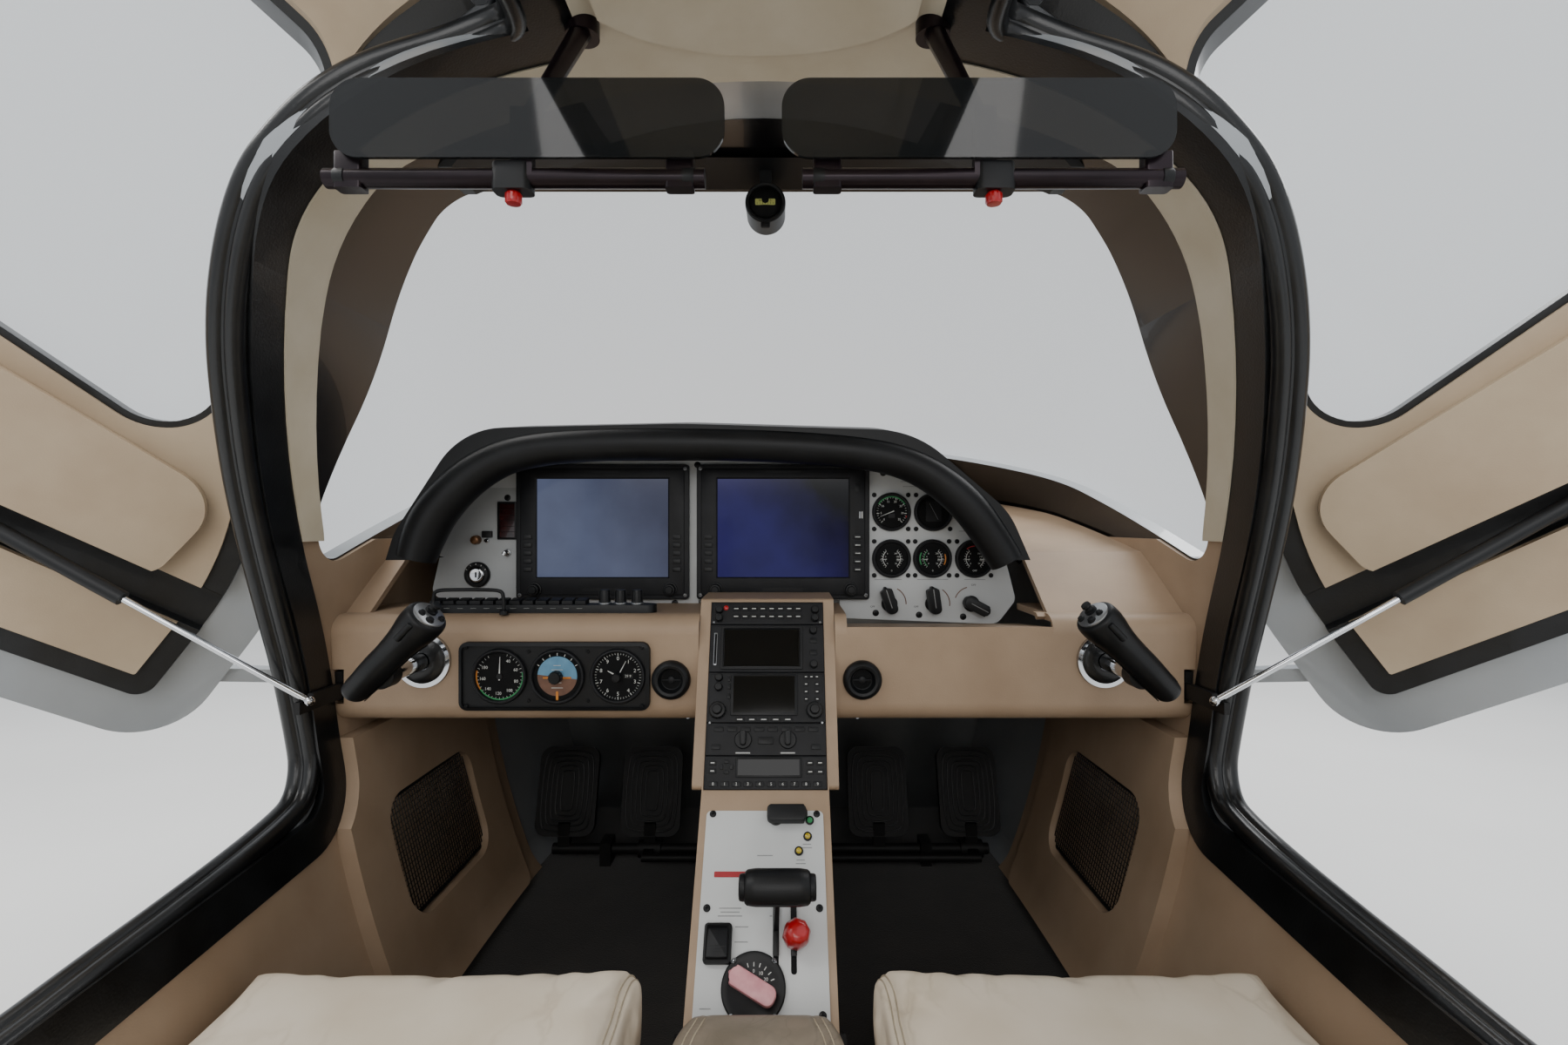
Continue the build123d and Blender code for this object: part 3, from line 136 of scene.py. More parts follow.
def addStrip(size, at, material):  # a block with sharp edges
    return addBlock(size, at, edge=0, material=material)


def addTurned(profile, at=(0, 0, 0), around=40, material=None, squash=1.0):  # radius and height pairs
    clearSelection()
    radius, height = profile[0]
    radius = max(radius, 0.01)
    middle = Vector(at) * mm
    bpy.ops.mesh.primitive_circle_add(vertices=around, radius=radius * mm, location=(0, 0, height * mm))
    piece = bpy.context.object
    bpy.ops.object.transform_apply(location=True)
    openMesh(piece, "point")
    for nextRadius, nextHeight in profile[1:]:
        nextRadius = max(nextRadius, 0.01)
        bpy.ops.mesh.extrude_region_move(TRANSFORM_OT_translate={"value": (0, 0, (nextHeight - height) * mm)})
        ratio = nextRadius / radius
        bpy.ops.transform.resize(value=(ratio, ratio, 1), center_override=(0, 0, nextHeight * mm))
        radius, height = nextRadius, nextHeight
    bpy.ops.mesh.select_all(action="SELECT")
    bpy.ops.mesh.remove_doubles(threshold=0.03 * mm)
    bpy.ops.mesh.normals_make_consistent(inside=False)
    closeMesh()
    piece.scale = (1, squash, 1)
    piece.location = middle
    applyPlace(piece)
    return paint(piece, material)


def addLoft(rings, around=32, material=None):  # rings of height, half width, half depth, x shift, y shift
    clearSelection()
    height, wide, deep, shiftX, shiftY = rings[0]
    bpy.ops.mesh.primitive_circle_add(vertices=around, radius=mm, location=(0, 0, 0))
    piece = bpy.context.object
    openMesh(piece, "point")
    bpy.ops.transform.resize(value=(wide, deep, 1), center_override=(0, 0, 0))
    bpy.ops.transform.translate(value=(shiftX * mm, shiftY * mm, height * mm))
    bpy.ops.mesh.edge_face_add()
    for nextHeight, nextWide, nextDeep, nextX, nextY in rings[1:]:
        step = Vector((nextX - shiftX, nextY - shiftY, nextHeight - height)) * mm
        bpy.ops.mesh.extrude_region_move(TRANSFORM_OT_translate={"value": step})
        middle = (nextX * mm, nextY * mm, nextHeight * mm)
        bpy.ops.transform.resize(value=(nextWide / wide, nextDeep / deep, 1), center_override=middle)
        height, wide, deep, shiftX, shiftY = nextHeight, nextWide, nextDeep, nextX, nextY
    bpy.ops.mesh.select_all(action="SELECT")
    bpy.ops.mesh.normals_make_consistent(inside=False)
    closeMesh()
    return paint(piece, material)


def addTube(points, radius, closed=False, material=None, order=3, steps=6, round=4, widths=None):
    clearSelection()
    curve = bpy.data.curves.new("run", "CURVE")
    curve.dimensions = "3D"
    spline = curve.splines.new("NURBS")
    spline.points.add(len(points) - 1)
    for index, (point, place) in enumerate(zip(spline.points, points)):
        point.co = (*(Vector(place) * mm), 1)
        point.radius = widths[index] if widths else 1.0
    spline.order_u = order
    spline.use_cyclic_u = closed
    spline.use_endpoint_u = not closed
    spline.resolution_u = steps
    curve.bevel_depth = radius * mm
    curve.bevel_resolution = round
    curve.use_fill_caps = not closed
    piece = bpy.data.objects.new("run", curve)
    bpy.context.scene.collection.objects.link(piece)
    pick(piece)
    bpy.ops.object.convert(target="MESH")
    piece = bpy.context.object
    return paint(piece, material)


def addText(words, height, at=(0, 0, 0), turn=0.0, material=None):
    clearSelection()
    bpy.ops.object.text_add(location=Vector(at) * mm, rotation=(0, 0, math.radians(turn)))
    piece = bpy.context.object
    piece.data.body = words
    piece.data.size = height * 1.35 * mm
    piece.data.align_x = "CENTER"
    piece.data.align_y = "CENTER"
    piece.data.extrude = 0.05 * mm
    piece.data.resolution_u = 3
    bpy.ops.object.convert(target="MESH")
    piece = bpy.context.object
    return paint(piece, material)


def copyOf(piece, place):
    twin = piece.copy()
    twin.data = piece.data.copy()
    bpy.context.scene.collection.objects.link(twin)
    twin.matrix_world = place @ piece.matrix_world
    return twin


def freeCopy(nodeName, place=Matrix()):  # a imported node's mesh as a loose object of its own
    twin = copyOf(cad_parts[nodeName], place)
    twin.parent = None
    return applyPlace(twin)


def ringOf(piece, angles, radius=0.0, at=(0, 0, 0)):  # copies round a centre, clockwise from the top
    middle = Matrix.Translation(Vector(at) * mm)
    reach = Matrix.Translation((0, radius * mm, 0))
    copies = [copyOf(piece, middle @ Matrix.Rotation(math.radians(-angle), 4, "Z") @ reach)
              for angle in angles]
    bpy.data.objects.remove(piece)
    return copies


def joinAll(parts):
    clearSelection()
    for part in parts:
        part.select_set(True)
    bpy.context.view_layer.objects.active = parts[0]
    bpy.ops.object.transform_apply(location=True, rotation=True, scale=True)
    if len(parts) > 1:
        bpy.ops.object.join()
    return bpy.context.object


def runModifier(piece, kind, **settings):  # added, set and applied
    pick(piece)
    modifier = piece.modifiers.new(kind.lower(), kind)
    for key, value in settings.items():
        setattr(modifier, key, value)
    bpy.ops.object.modifier_apply(modifier=modifier.name)


def sinkFace(piece, rim, depth):  # the front face set in by a rim, then sunk
    openFaces(piece, lambda center, normal: normal.z > 0.9)
    bpy.ops.mesh.inset(thickness=rim * mm)
    bpy.ops.mesh.extrude_region_move(TRANSFORM_OT_translate={"value": (0, 0, -depth * mm)})
    closeMesh()


def narrowEnd(piece, along, limit, factors, middle):  # one end of a block drawn together
    openFaces(piece, lambda center, normal: normal["xyz".index(along)] > limit)
    bpy.ops.transform.resize(value=factors, center_override=Vector(middle) * mm)
    closeMesh()


def keep(parts, name, body, place=None, smooth=38.0, replaces=()):
    piece = joinAll(parts)
    applyPlace(piece, place)
    piece.name = name
    piece.data.name = name
    if smooth:
        bpy.ops.object.shade_smooth_by_angle(angle=math.radians(smooth))
    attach(piece, body)
    if replaces:
        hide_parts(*replaces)
    return piece


def mirrorCopy(piece, name, body, replaces=()):  # the same piece for the other side
    twin = piece.copy()
    twin.data = piece.data.copy()
    twin.parent = None
    bpy.context.scene.collection.objects.link(twin)
    twin.matrix_world = Matrix.Scale(-1, 4, (1, 0, 0))
    for key in list(twin.keys()):
        del twin[key]
    applyPlace(twin)
    openMesh(twin)
    bpy.ops.mesh.flip_normals()
    closeMesh()
    twin.name = name
    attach(twin, body)
    if replaces:
        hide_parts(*replaces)
    return twin


# Materials: each is built from what the real surface is
def linearColour(hexValue, alpha=1.0):
    channels = [int(hexValue[i:i + 2], 16) / 255 for i in (1, 3, 5)]
    return (*(c / 12.92 if c <= 0.04045 else ((c + 0.055) / 1.055) ** 2.4 for c in channels), alpha)


def addNode(material, kind, values=None, links=None, **settings):
    made = material.node_tree.nodes.new(kind)
    for key, value in settings.items():
        setattr(made, key, value)
    for key, value in (values or {}).items():
        made.inputs[key].default_value = value
    for key, source in (links or {}).items():
        material.node_tree.links.new(source, made.inputs[key])
    return made


def newMaterial(name, colour, roughness, metallic=0.0, ior=1.5, coat=0.0, alpha=1.0, sheen=0.0):
    material = bpy.data.materials.new(name)
    material.use_nodes = True
    shader = material.node_tree.nodes["Principled BSDF"]
    values = {"Base Color": linearColour(colour), "Roughness": roughness, "Metallic": metallic, "IOR": ior,
              "Coat Weight": coat, "Alpha": alpha, "Sheen Weight": sheen}
    for key, value in values.items():
        shader.inputs[key].default_value = value
    place = addNode(material, "ShaderNodeTexCoord")
    return material, shader, place.outputs["Object"]


def link(material, source, target):
    material.node_tree.links.new(source, target)


# colour drifts over patches of this size
def addSpread(material, shader, place, size, low, high, detail=4.0, rough=None):
    noise = addNode(material, "ShaderNodeTexNoise", {"Scale": 1000 / size, "Detail": detail},
                    {"Vector": place})
    ramp = addNode(material, "ShaderNodeValToRGB", links={"Fac": noise.outputs["Fac"]})
    for element, position, tint in zip(ramp.color_ramp.elements, (0.32, 0.68), (low, high)):
        element.position, element.color = position, linearColour(tint)
    link(material, ramp.outputs["Color"], shader.inputs["Base Color"])
    if rough:
        span = addNode(material, "ShaderNodeMapRange", {"To Min": rough[0], "To Max": rough[1]},
                       {"Value": noise.outputs["Fac"]})
        link(material, span.outputs["Result"], shader.inputs["Roughness"])


def addGrain(material, shader, place, size, depth, kind="hide"):  # surface relief: pebbled hide or fine noise
    if kind == "hide":
        cells = addNode(material, "ShaderNodeTexVoronoi", {"Scale": 1000 / size}, {"Vector": place},
                        feature="SMOOTH_F1")
        height = cells.outputs["Distance"]
    else:
        speck = addNode(material, "ShaderNodeTexNoise", {"Scale": 1000 / size, "Detail": 6.0},
                        {"Vector": place})
        height = speck.outputs["Fac"]
    bump = addNode(material, "ShaderNodeBump", {"Strength": 0.6, "Distance": depth * mm}, {"Height": height})
    link(material, bump.outputs["Normal"], shader.inputs["Normal"])


def simpleFinish(name, colour, roughness, patch, low, high, grain, depth, kind="hide", rough=None, **more):
    material, shader, place = newMaterial(name, colour, roughness, **more)
    addSpread(material, shader, place, patch, low, high, rough=rough)
    addGrain(material, shader, place, grain, depth, kind)
    return material


# gelcoat silver: metal flake under clear coat, so it darkens gently towards the edges
silverPaint = simpleFinish("silverGelcoat", "#9DA1A4", 0.32, 180, "#989C9F", "#A5A9AC", 0.7, 0.02, "fine",
                           metallic=0.45, coat=0.5)
# moulded vinyl on foam: cream, faint pebble, patchy sheen
creamVinyl = simpleFinish("creamVinyl", "#C8BEA8", 0.5, 90, "#C2B7A0", "#CFC6B2", 1.6, 0.12,
                          rough=(0.42, 0.6))
# tan vinyl of the bolster and lower sides
tanVinyl = simpleFinish("tanVinyl", "#A18A6E", 0.52, 120, "#99826A", "#A9927A", 1.5, 0.14, rough=(0.45, 0.62))
# beige vinyl of the door linings
doorVinyl = simpleFinish("doorVinyl", "#B09B80", 0.5, 140, "#A89379", "#B8A58B", 1.5, 0.12,
                         rough=(0.42, 0.58))
# extruded rubber seal: near black, talc-like bloom, skin gloss
sealRubber = simpleFinish("sealRubber", "#0D0E10", 0.3, 40, "#0A0B0C", "#141618", 2.2, 0.18,
                          rough=(0.24, 0.42), coat=0.15, ior=1.42)
# stitched black hide on the hood: soft gloss, fine pebble
blackHide = simpleFinish("blackHide", "#0F1012", 0.42, 60, "#0C0D0F", "#151719", 1.3, 0.12,
                         rough=(0.36, 0.5), ior=1.36)
# injection-moulded ABS, spark-eroded texture
blackAbs = simpleFinish("blackAbs", "#111214", 0.42, 50, "#0E0F11", "#16181A", 0.8, 0.03, "fine",
                        rough=(0.36, 0.5), ior=1.36)
# softer moulded grey-black for instrument bezels
bezelBlack = simpleFinish("bezelBlack", "#17181A", 0.5, 30, "#141517", "#1C1D20", 0.7, 0.03, "fine", ior=1.34)
# black crinkle powder coat on brackets and tracks
crinkleBlack = simpleFinish("crinkleBlack", "#141414", 0.55, 35, "#101010", "#1A1A1A", 1.1, 0.08, "fine",
                            ior=1.36)
# dark anodised aluminium with a plum cast on the visor rods
plumAnodised = simpleFinish("plumAnodised", "#1E161B", 0.28, 60, "#1A1317", "#261C22", 0.6, 0.01, "fine",
                            metallic=0.6)
# sprayed light grey panel, faint orange peel
panelPaint = simpleFinish("panelPaint", "#BFC2C2", 0.42, 200, "#B7BABB", "#C7CACA", 1.2, 0.02, "fine")
# cut-pile carpet
carpet = simpleFinish("blackCarpet", "#161412", 0.95, 60, "#100E0D", "#1E1B18", 2.4, 0.9, "fine", sheen=0.3)
# worn seat hide: cream, with a broad tonal drift, fine pebble and soft folds
seatHide = simpleFinish("seatHide", "#D8CCB8", 0.46, 110, "#D1C4AF", "#DED3C1", 1.3, 0.1,
                        rough=(0.38, 0.54), coat=0.08)
# the same hide dyed taupe on the armrest
armHide = simpleFinish("armrestHide", "#7F7466", 0.45, 45, "#72685A", "#8B8071", 1.2, 0.12,
                       rough=(0.36, 0.52), coat=0.08)
# waxed thread of the seams
seamThread = simpleFinish("waxedThread", "#A39781", 0.6, 12, "#9A8E79", "#ACA08B", 0.8, 0.05, "fine")
# chrome plate on steel
chrome = simpleFinish("chromePlate", "#C9CBCE", 0.09, 40, "#C2C4C7", "#D0D2D5", 2.0, 0.004, "fine",
                      metallic=1.0)
# cast and machined aluminium
aluminium = simpleFinish("satinAluminium", "#A6A8AA", 0.36, 30, "#9EA0A2", "#AFB1B3", 0.9, 0.02, "fine",
                         metallic=0.9)
# stainless firewall, rolled finish
firewallSteel = simpleFinish("rolledStainless", "#8E9092", 0.34, 150, "#868889", "#979A9C", 1.5, 0.02,
                             "fine", metallic=1.0)
# glossy red moulded knob
redPlastic = simpleFinish("redMoulding", "#A80F17", 0.28, 25, "#9E0C14", "#B5141C", 1.2, 0.02, "fine",
                          coat=0.4)
# the same moulding, faded by the sun
pinkPlastic = simpleFinish("fadedPinkMoulding", "#D08F96", 0.4, 15, "#C5838B", "#DBA0A5", 1.0, 0.02, "fine")
# printed label films
redLabel = simpleFinish("redLabelFilm", "#9B1B24", 0.45, 60, "#92171F", "#A6222B", 2.0, 0.01, "fine")
whiteLabel = simpleFinish("whiteLabelFilm", "#D9DADA", 0.45, 40, "#D3D4D4", "#DFE0E0", 2.0, 0.01, "fine")
# printed inks on dials and keys
whiteInk = simpleFinish("whiteInk", "#C9CBC8", 0.6, 8, "#BFC1BE", "#D2D4D1", 0.8, 0.004, "fine")
greenInk = simpleFinish("greenInk", "#2F8F55", 0.6, 8, "#2A854E", "#36995D", 0.8, 0.004, "fine")
amberInk = simpleFinish("amberInk", "#C77B2A", 0.6, 8, "#BE7325", "#D08531", 0.8, 0.004, "fine")
redInk = simpleFinish("redInk", "#B4262B", 0.6, 8, "#AA2126", "#BE2D32", 0.8, 0.004, "fine")
skyInk = simpleFinish("skyInk", "#5E8FAE", 0.5, 12, "#5888A7", "#6697B5", 0.8, 0.004, "fine")
earthInk = simpleFinish("earthInk", "#6B4B3A", 0.5, 12, "#634536", "#745241", 0.8, 0.004, "fine")
# matt black, nearly no gloss: dial faces and print, and painted shade in holes, slots and recesses and behind
# the panel's top
mattBlackAndShade = simpleFinish("mattBlackAndShade", "#0B0C0D", 0.7, 15, "#090A0B", "#0F1011", 0.5, 0.01, "fine", ior=1.25)
# brushed and clear-coated bezels and screws
grilleGrey = simpleFinish("brushedSilverBezel", "#8B8E91", 0.3, 20, "#838689", "#94979A", 0.6, 0.01, "fine",
                          metallic=0.8)
# dim red filter over the hour meter's window
meterRed = simpleFinish("meterRedFilter", "#2A0A0B", 0.2, 14, "#200708", "#37100F", 0.8, 0.01, "fine",
                        coat=0.5)
# worn brass-brown knob
brassKnob = simpleFinish("wornBrassKnob", "#6A4A30", 0.35, 8, "#5C3F28", "#7A573A", 0.7, 0.02, "fine",
                         metallic=0.5)
# grey print on the panel
greyInk = simpleFinish("printedGreyInk", "#8B8E8F", 0.6, 8, "#838687", "#939697", 0.8, 0.004, "fine")
# second, darker coat on the panel's left plate
greyPlate = simpleFinish("greyPlatePaint", "#9FA2A3", 0.45, 120, "#989B9C", "#A6A9AA", 1.2, 0.02, "fine")
# pale number card of the compass
limeCard = simpleFinish("limeCard", "#B9BE6A", 0.5, 12, "#B2B764", "#C1C671", 0.8, 0.01, "fine")
# amber lens over a small lamp
lampAmber = simpleFinish("lampAmber", "#B7A02A", 0.2, 6, "#AC9525", "#C4AD31", 0.6, 0.01, "fine", coat=0.5)
# fired ceramic edge of the windscreen
blackBand = simpleFinish("blackCeramicBand", "#0A0A0C", 0.25, 60, "#08080A", "#0E0E11", 1.4, 0.01, "fine",
                         coat=0.3)
print("materials ready")


def clearSheet(name, colour, alpha, roughness, wave):  # cast acrylic: near clear, faint long waves in it
    material, shader, place = newMaterial(name, colour, roughness, ior=1.49, alpha=alpha)
    addGrain(material, shader, place, wave, 0.02, "fine")
    material.use_backface_culling = False
    return material


def screenGlass(name, corners, gloss, middle):  # dark glass with a painted reflection: a glow that blends slowly between two corners, broken by smudges
    material, shader, place = newMaterial(name, "#030405", gloss, ior=1.3)
    turn, stretch = math.radians(38), 4.2
    shift = stretch * mm * (middle[0] * math.cos(turn) + middle[1] * math.sin(turn))
    settings = {"Rotation": (0, turn, 0), "Scale": (stretch, stretch, stretch),
                "Location": (0.1 - shift, 0, 0)}
    lean = addNode(material, "ShaderNodeMapping", settings, {"Vector": place})
    slope = addNode(material, "ShaderNodeTexGradient", links={"Vector": lean.outputs["Vector"]})
    smudgedReflection = addNode(material, "ShaderNodeTexNoise", {"Scale": 22.0, "Detail": 3.0}, {"Vector": place})
    blend = addNode(material, "ShaderNodeMath", {2: 0.25}, {0: smudgedReflection.outputs["Fac"]},
                    operation="MULTIPLY_ADD")
    blend.inputs[1].default_value = 0.35
    sumOf = addNode(material, "ShaderNodeMath", None, {0: slope.outputs["Fac"], 1: blend.outputs["Value"]},
                    operation="ADD")
    ramp = addNode(material, "ShaderNodeValToRGB", links={"Fac": sumOf.outputs["Value"]})
    for element, position, tint in zip(ramp.color_ramp.elements, (0.25, 0.95), corners):
        element.position, element.color = position, linearColour(tint)
    link(material, ramp.outputs["Color"], shader.inputs["Emission Color"])
    shader.inputs["Emission Strength"].default_value = 1.0
    return material


def addCreases(material, size, pull, tint, depth):  # folds of worn hide, drawn out along one way; each fold is sunk by a bump and darkened towards the tint, painted shade in the fold
    shader = material.node_tree.nodes["Principled BSDF"]
    place = addNode(material, "ShaderNodeTexCoord").outputs["Object"]
    bends = addNode(material, "ShaderNodeTexNoise", {"Scale": 8.0, "Detail": 4.0}, {"Vector": place})
    drawn = addNode(material, "ShaderNodeMapping", {"Scale": pull, "Rotation": (0, 0, 0.3)},
                    {"Vector": place})
    inputs = {0: bends.outputs["Color"], 2: drawn.outputs["Vector"]}
    wander = addNode(material, "ShaderNodeVectorMath", None, inputs, operation="MULTIPLY_ADD")
    wander.inputs[1].default_value = (0.12, 0.12, 0.12)
    cells = addNode(material, "ShaderNodeTexVoronoi", {"Scale": 1000 / size},
                    {"Vector": wander.outputs["Vector"]},
                    feature="DISTANCE_TO_EDGE")
    line = addNode(material, "ShaderNodeMapRange", {"From Max": 0.06, "To Min": 1.0, "To Max": 0.0},
                   {"Value": cells.outputs["Distance"]})
    patch = addNode(material, "ShaderNodeTexNoise", {"Scale": 6.0, "Detail": 2.0}, {"Vector": place})
    where = addNode(material, "ShaderNodeMapRange", {"From Min": 0.46, "From Max": 0.6},
                    {"Value": patch.outputs["Fac"]})
    fold = addNode(material, "ShaderNodeMath", None,
                   {0: line.outputs["Result"], 1: where.outputs["Result"]}, operation="MULTIPLY")
    share = addNode(material, "ShaderNodeMath", {1: 0.34}, {0: fold.outputs["Value"]}, operation="MULTIPLY")
    base = shader.inputs["Base Color"].links[0].from_socket
    mixed = addNode(material, "ShaderNodeMixRGB", {"Color2": linearColour(tint)},
                    {"Fac": share.outputs["Value"], "Color1": base})
    link(material, mixed.outputs["Color"], shader.inputs["Base Color"])
    grain = shader.inputs["Normal"].links[0].from_socket
    sunk = addNode(material, "ShaderNodeBump", {"Strength": 0.7, "Distance": depth * mm},
                   {"Height": fold.outputs["Value"], "Normal": grain}, invert=True)
    link(material, sunk.outputs["Normal"], shader.inputs["Normal"])


# the darker tints here are painted shade in the hide's folds
addCreases(seatHide, 70, (1.5, 0.45, 1.0), "#AA9A82", 0.5)
addCreases(armHide, 26, (1.0, 0.7, 1.0), "#5C5448", 0.5)
clearAcrylic = clearSheet("clearAcrylic", "#E9F1EF", 0.1, 0.02, 160)
smokedAcrylic = clearSheet("smokedAcrylic", "#17191A", 0.8, 0.04, 120)
# the two flight screens are dark glass whose glow is a painted reflection; the stack's screen has that glow
# switched off
paleReflectionScreen = screenGlass("paleReflectionGlass", ("#59617A", "#3A3E52"), 0.12, (-262, 765))
blueReflectionScreen = screenGlass("blueReflectionGlass", ("#262360", "#040509"), 0.12, (26, 765))
darkScreen = screenGlass("darkScreenGlass", ("#0C0D10", "#14161A"), 0.08, (0, 500))
darkScreen.node_tree.nodes["Principled BSDF"].inputs["Emission Strength"].default_value = 0.0

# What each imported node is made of
nodeFinish = (
    (silverPaint, "hull_left hull_right door_shell_left door_shell_right"),
    (clearAcrylic, "windscreen door_window_left door_window_right"),
    (carpet, "cabin_floor"),
    (firewallSteel, "firewall"),
    (creamVinyl, "roof_trim headliner_pad"),
    (blackAbs, "windscreen_header panel_controls switch_row standby_cluster air_vents"),
    (blackAbs, "console_controls throttle_lever compass strut_tube_left strut_tube_right"),
    (sealRubber, "door_seals"),
    (tanVinyl, "sidewall_trim dash_bolster dash_deck center_console armrest_box"),
    (panelPaint, "instrument_panel console_plate"),
    (blackHide, "glareshield yoke_grip_left yoke_grip_right"),
    (bezelBlack, "flight_displays engine_gauges avionics_stack"),
    (redPlastic, "mixture_lever"),
    (armHide, "armrest_lid"),
    (chrome, "yoke_rings yoke_shaft_left yoke_shaft_right strut_rod_left strut_rod_right"),
    (crinkleBlack, "pedal_bearings strut_brackets seat_base_left"),
    (crinkleBlack, "seat_base_right pedals_left pedals_right"),
    (aluminium, "seat_rails door_hinges"),
    (smokedAcrylic, "visor_plates"),
    (plumAnodised, "visor_arms"),
    (seatHide, "seat_cushion_left seat_cushion_right seat_back_left seat_back_right"),
    (doorVinyl, "door_trim_left door_trim_right"),
)
for surface, nodeNames in nodeFinish:
    for nodeName in nodeNames.split():
        paint(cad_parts[nodeName], surface)
print("packed nodes painted")


def addScrews(places, material, radius=3.6, depth=0.0, cross=True):  # pan heads; the sunk cross is a matt black cross laid on top, painted shade in the recess
    profile = [(radius, 0), (radius, 0.9), (radius * 0.72, 1.8), (0, 1.9)]
    parts = [addTurned(profile, around=20, material=material)]
    if cross:
        for size in ((radius * 1.1, radius * 0.22, 0.3), (radius * 0.22, radius * 1.1, 0.3)):
            parts.append(addStrip(size, (0, 0, 1.85), mattBlackAndShade))
    head = joinAll(parts)
    heads = [copyOf(head, Matrix.Translation((x * mm, y * mm, depth * mm))) for x, y in places]
    bpy.data.objects.remove(head)
    return heads


def addKnob(profile, ribs, at, material, relief=0.35):  # a turned knob with straight ribs round its side
    knob = addTurned(profile, around=2 * ribs, material=material)
    limit = 0.55 * profile[0][0] * mm

    def onRib(center, normal):
        turn = math.atan2(normal.y, normal.x) / math.pi * ribs
        return abs(normal.z) < 0.35 and center.xy.length > limit and round(turn - 0.5) % 2 == 0

    openFaces(knob, onRib)
    bpy.ops.mesh.extrude_region_shrink_fatten(TRANSFORM_OT_shrink_fatten={"value": relief * mm})
    closeMesh()
    knob.location = Vector(at) * mm
    return knob


def addArc(start, end, radius, width, material, depth=0.2, step=4.0):  # a printed band round a dial
    length = 2 * radius * math.tan(math.radians(step / 2)) + 0.05
    dash = addStrip((length, width, 0.1), (0, 0, depth), material)
    count = max(1, round((end - start) / step))
    return ringOf(dash, [start + (i + 0.5) * step for i in range(count)], radius)


def addTicks(start, end, count, radius, size, material, depth=0.2):
    dash = addStrip((size[0], size[1], 0.1), (0, 0, depth), material)
    gap = (end - start) / (count - 1)
    return ringOf(dash, [start + i * gap for i in range(count)], radius)


def addDashes(rows, tall, depth, material):  # blank lines where the photo has small print: x, y, width
    return [addStrip((wide, tall, 0.05), (x, y, depth), material) for x, y, wide in rows]


def addNumbers(words, start, end, radius, height, material, depth=0.2):
    gap = (end - start) / (len(words) - 1)
    parts = []
    for i, word in enumerate(words):
        turn = math.radians(start + i * gap)
        parts.append(addText(word, height, (radius * math.sin(turn), radius * math.cos(turn), depth),
                             material=material))
    return parts


def addNeedle(angle, length, width, material, depth=0.6, tail=0.2):
    hand = addStrip((width, length * (1 + tail), 0.5), (0, length * (0.5 - tail / 2), depth), material)
    narrowEnd(hand, "y", 0.5, (0.25, 1, 1), (0, 0, depth))
    return ringOf(hand, [angle])


def movedTo(parts, x, y, depth=0.0):
    for part in parts:
        part.matrix_world = Matrix.Translation((x * mm, y * mm, depth * mm)) @ part.matrix_world
    return parts


# Two flight displays: raised rim on a flange, sunk screen, keys at both sides and two knobs below
displayModel = {
    "flange": (276, 216, 9), "rim": 7.0, "screen": (211, 158.5), "screenUp": 6.25, "front": 13.5,
    "knobs": (108, -92), "keyDown": (-8, -21, -34, -47, -60), "keySize": (13, 7, 2.4),
}


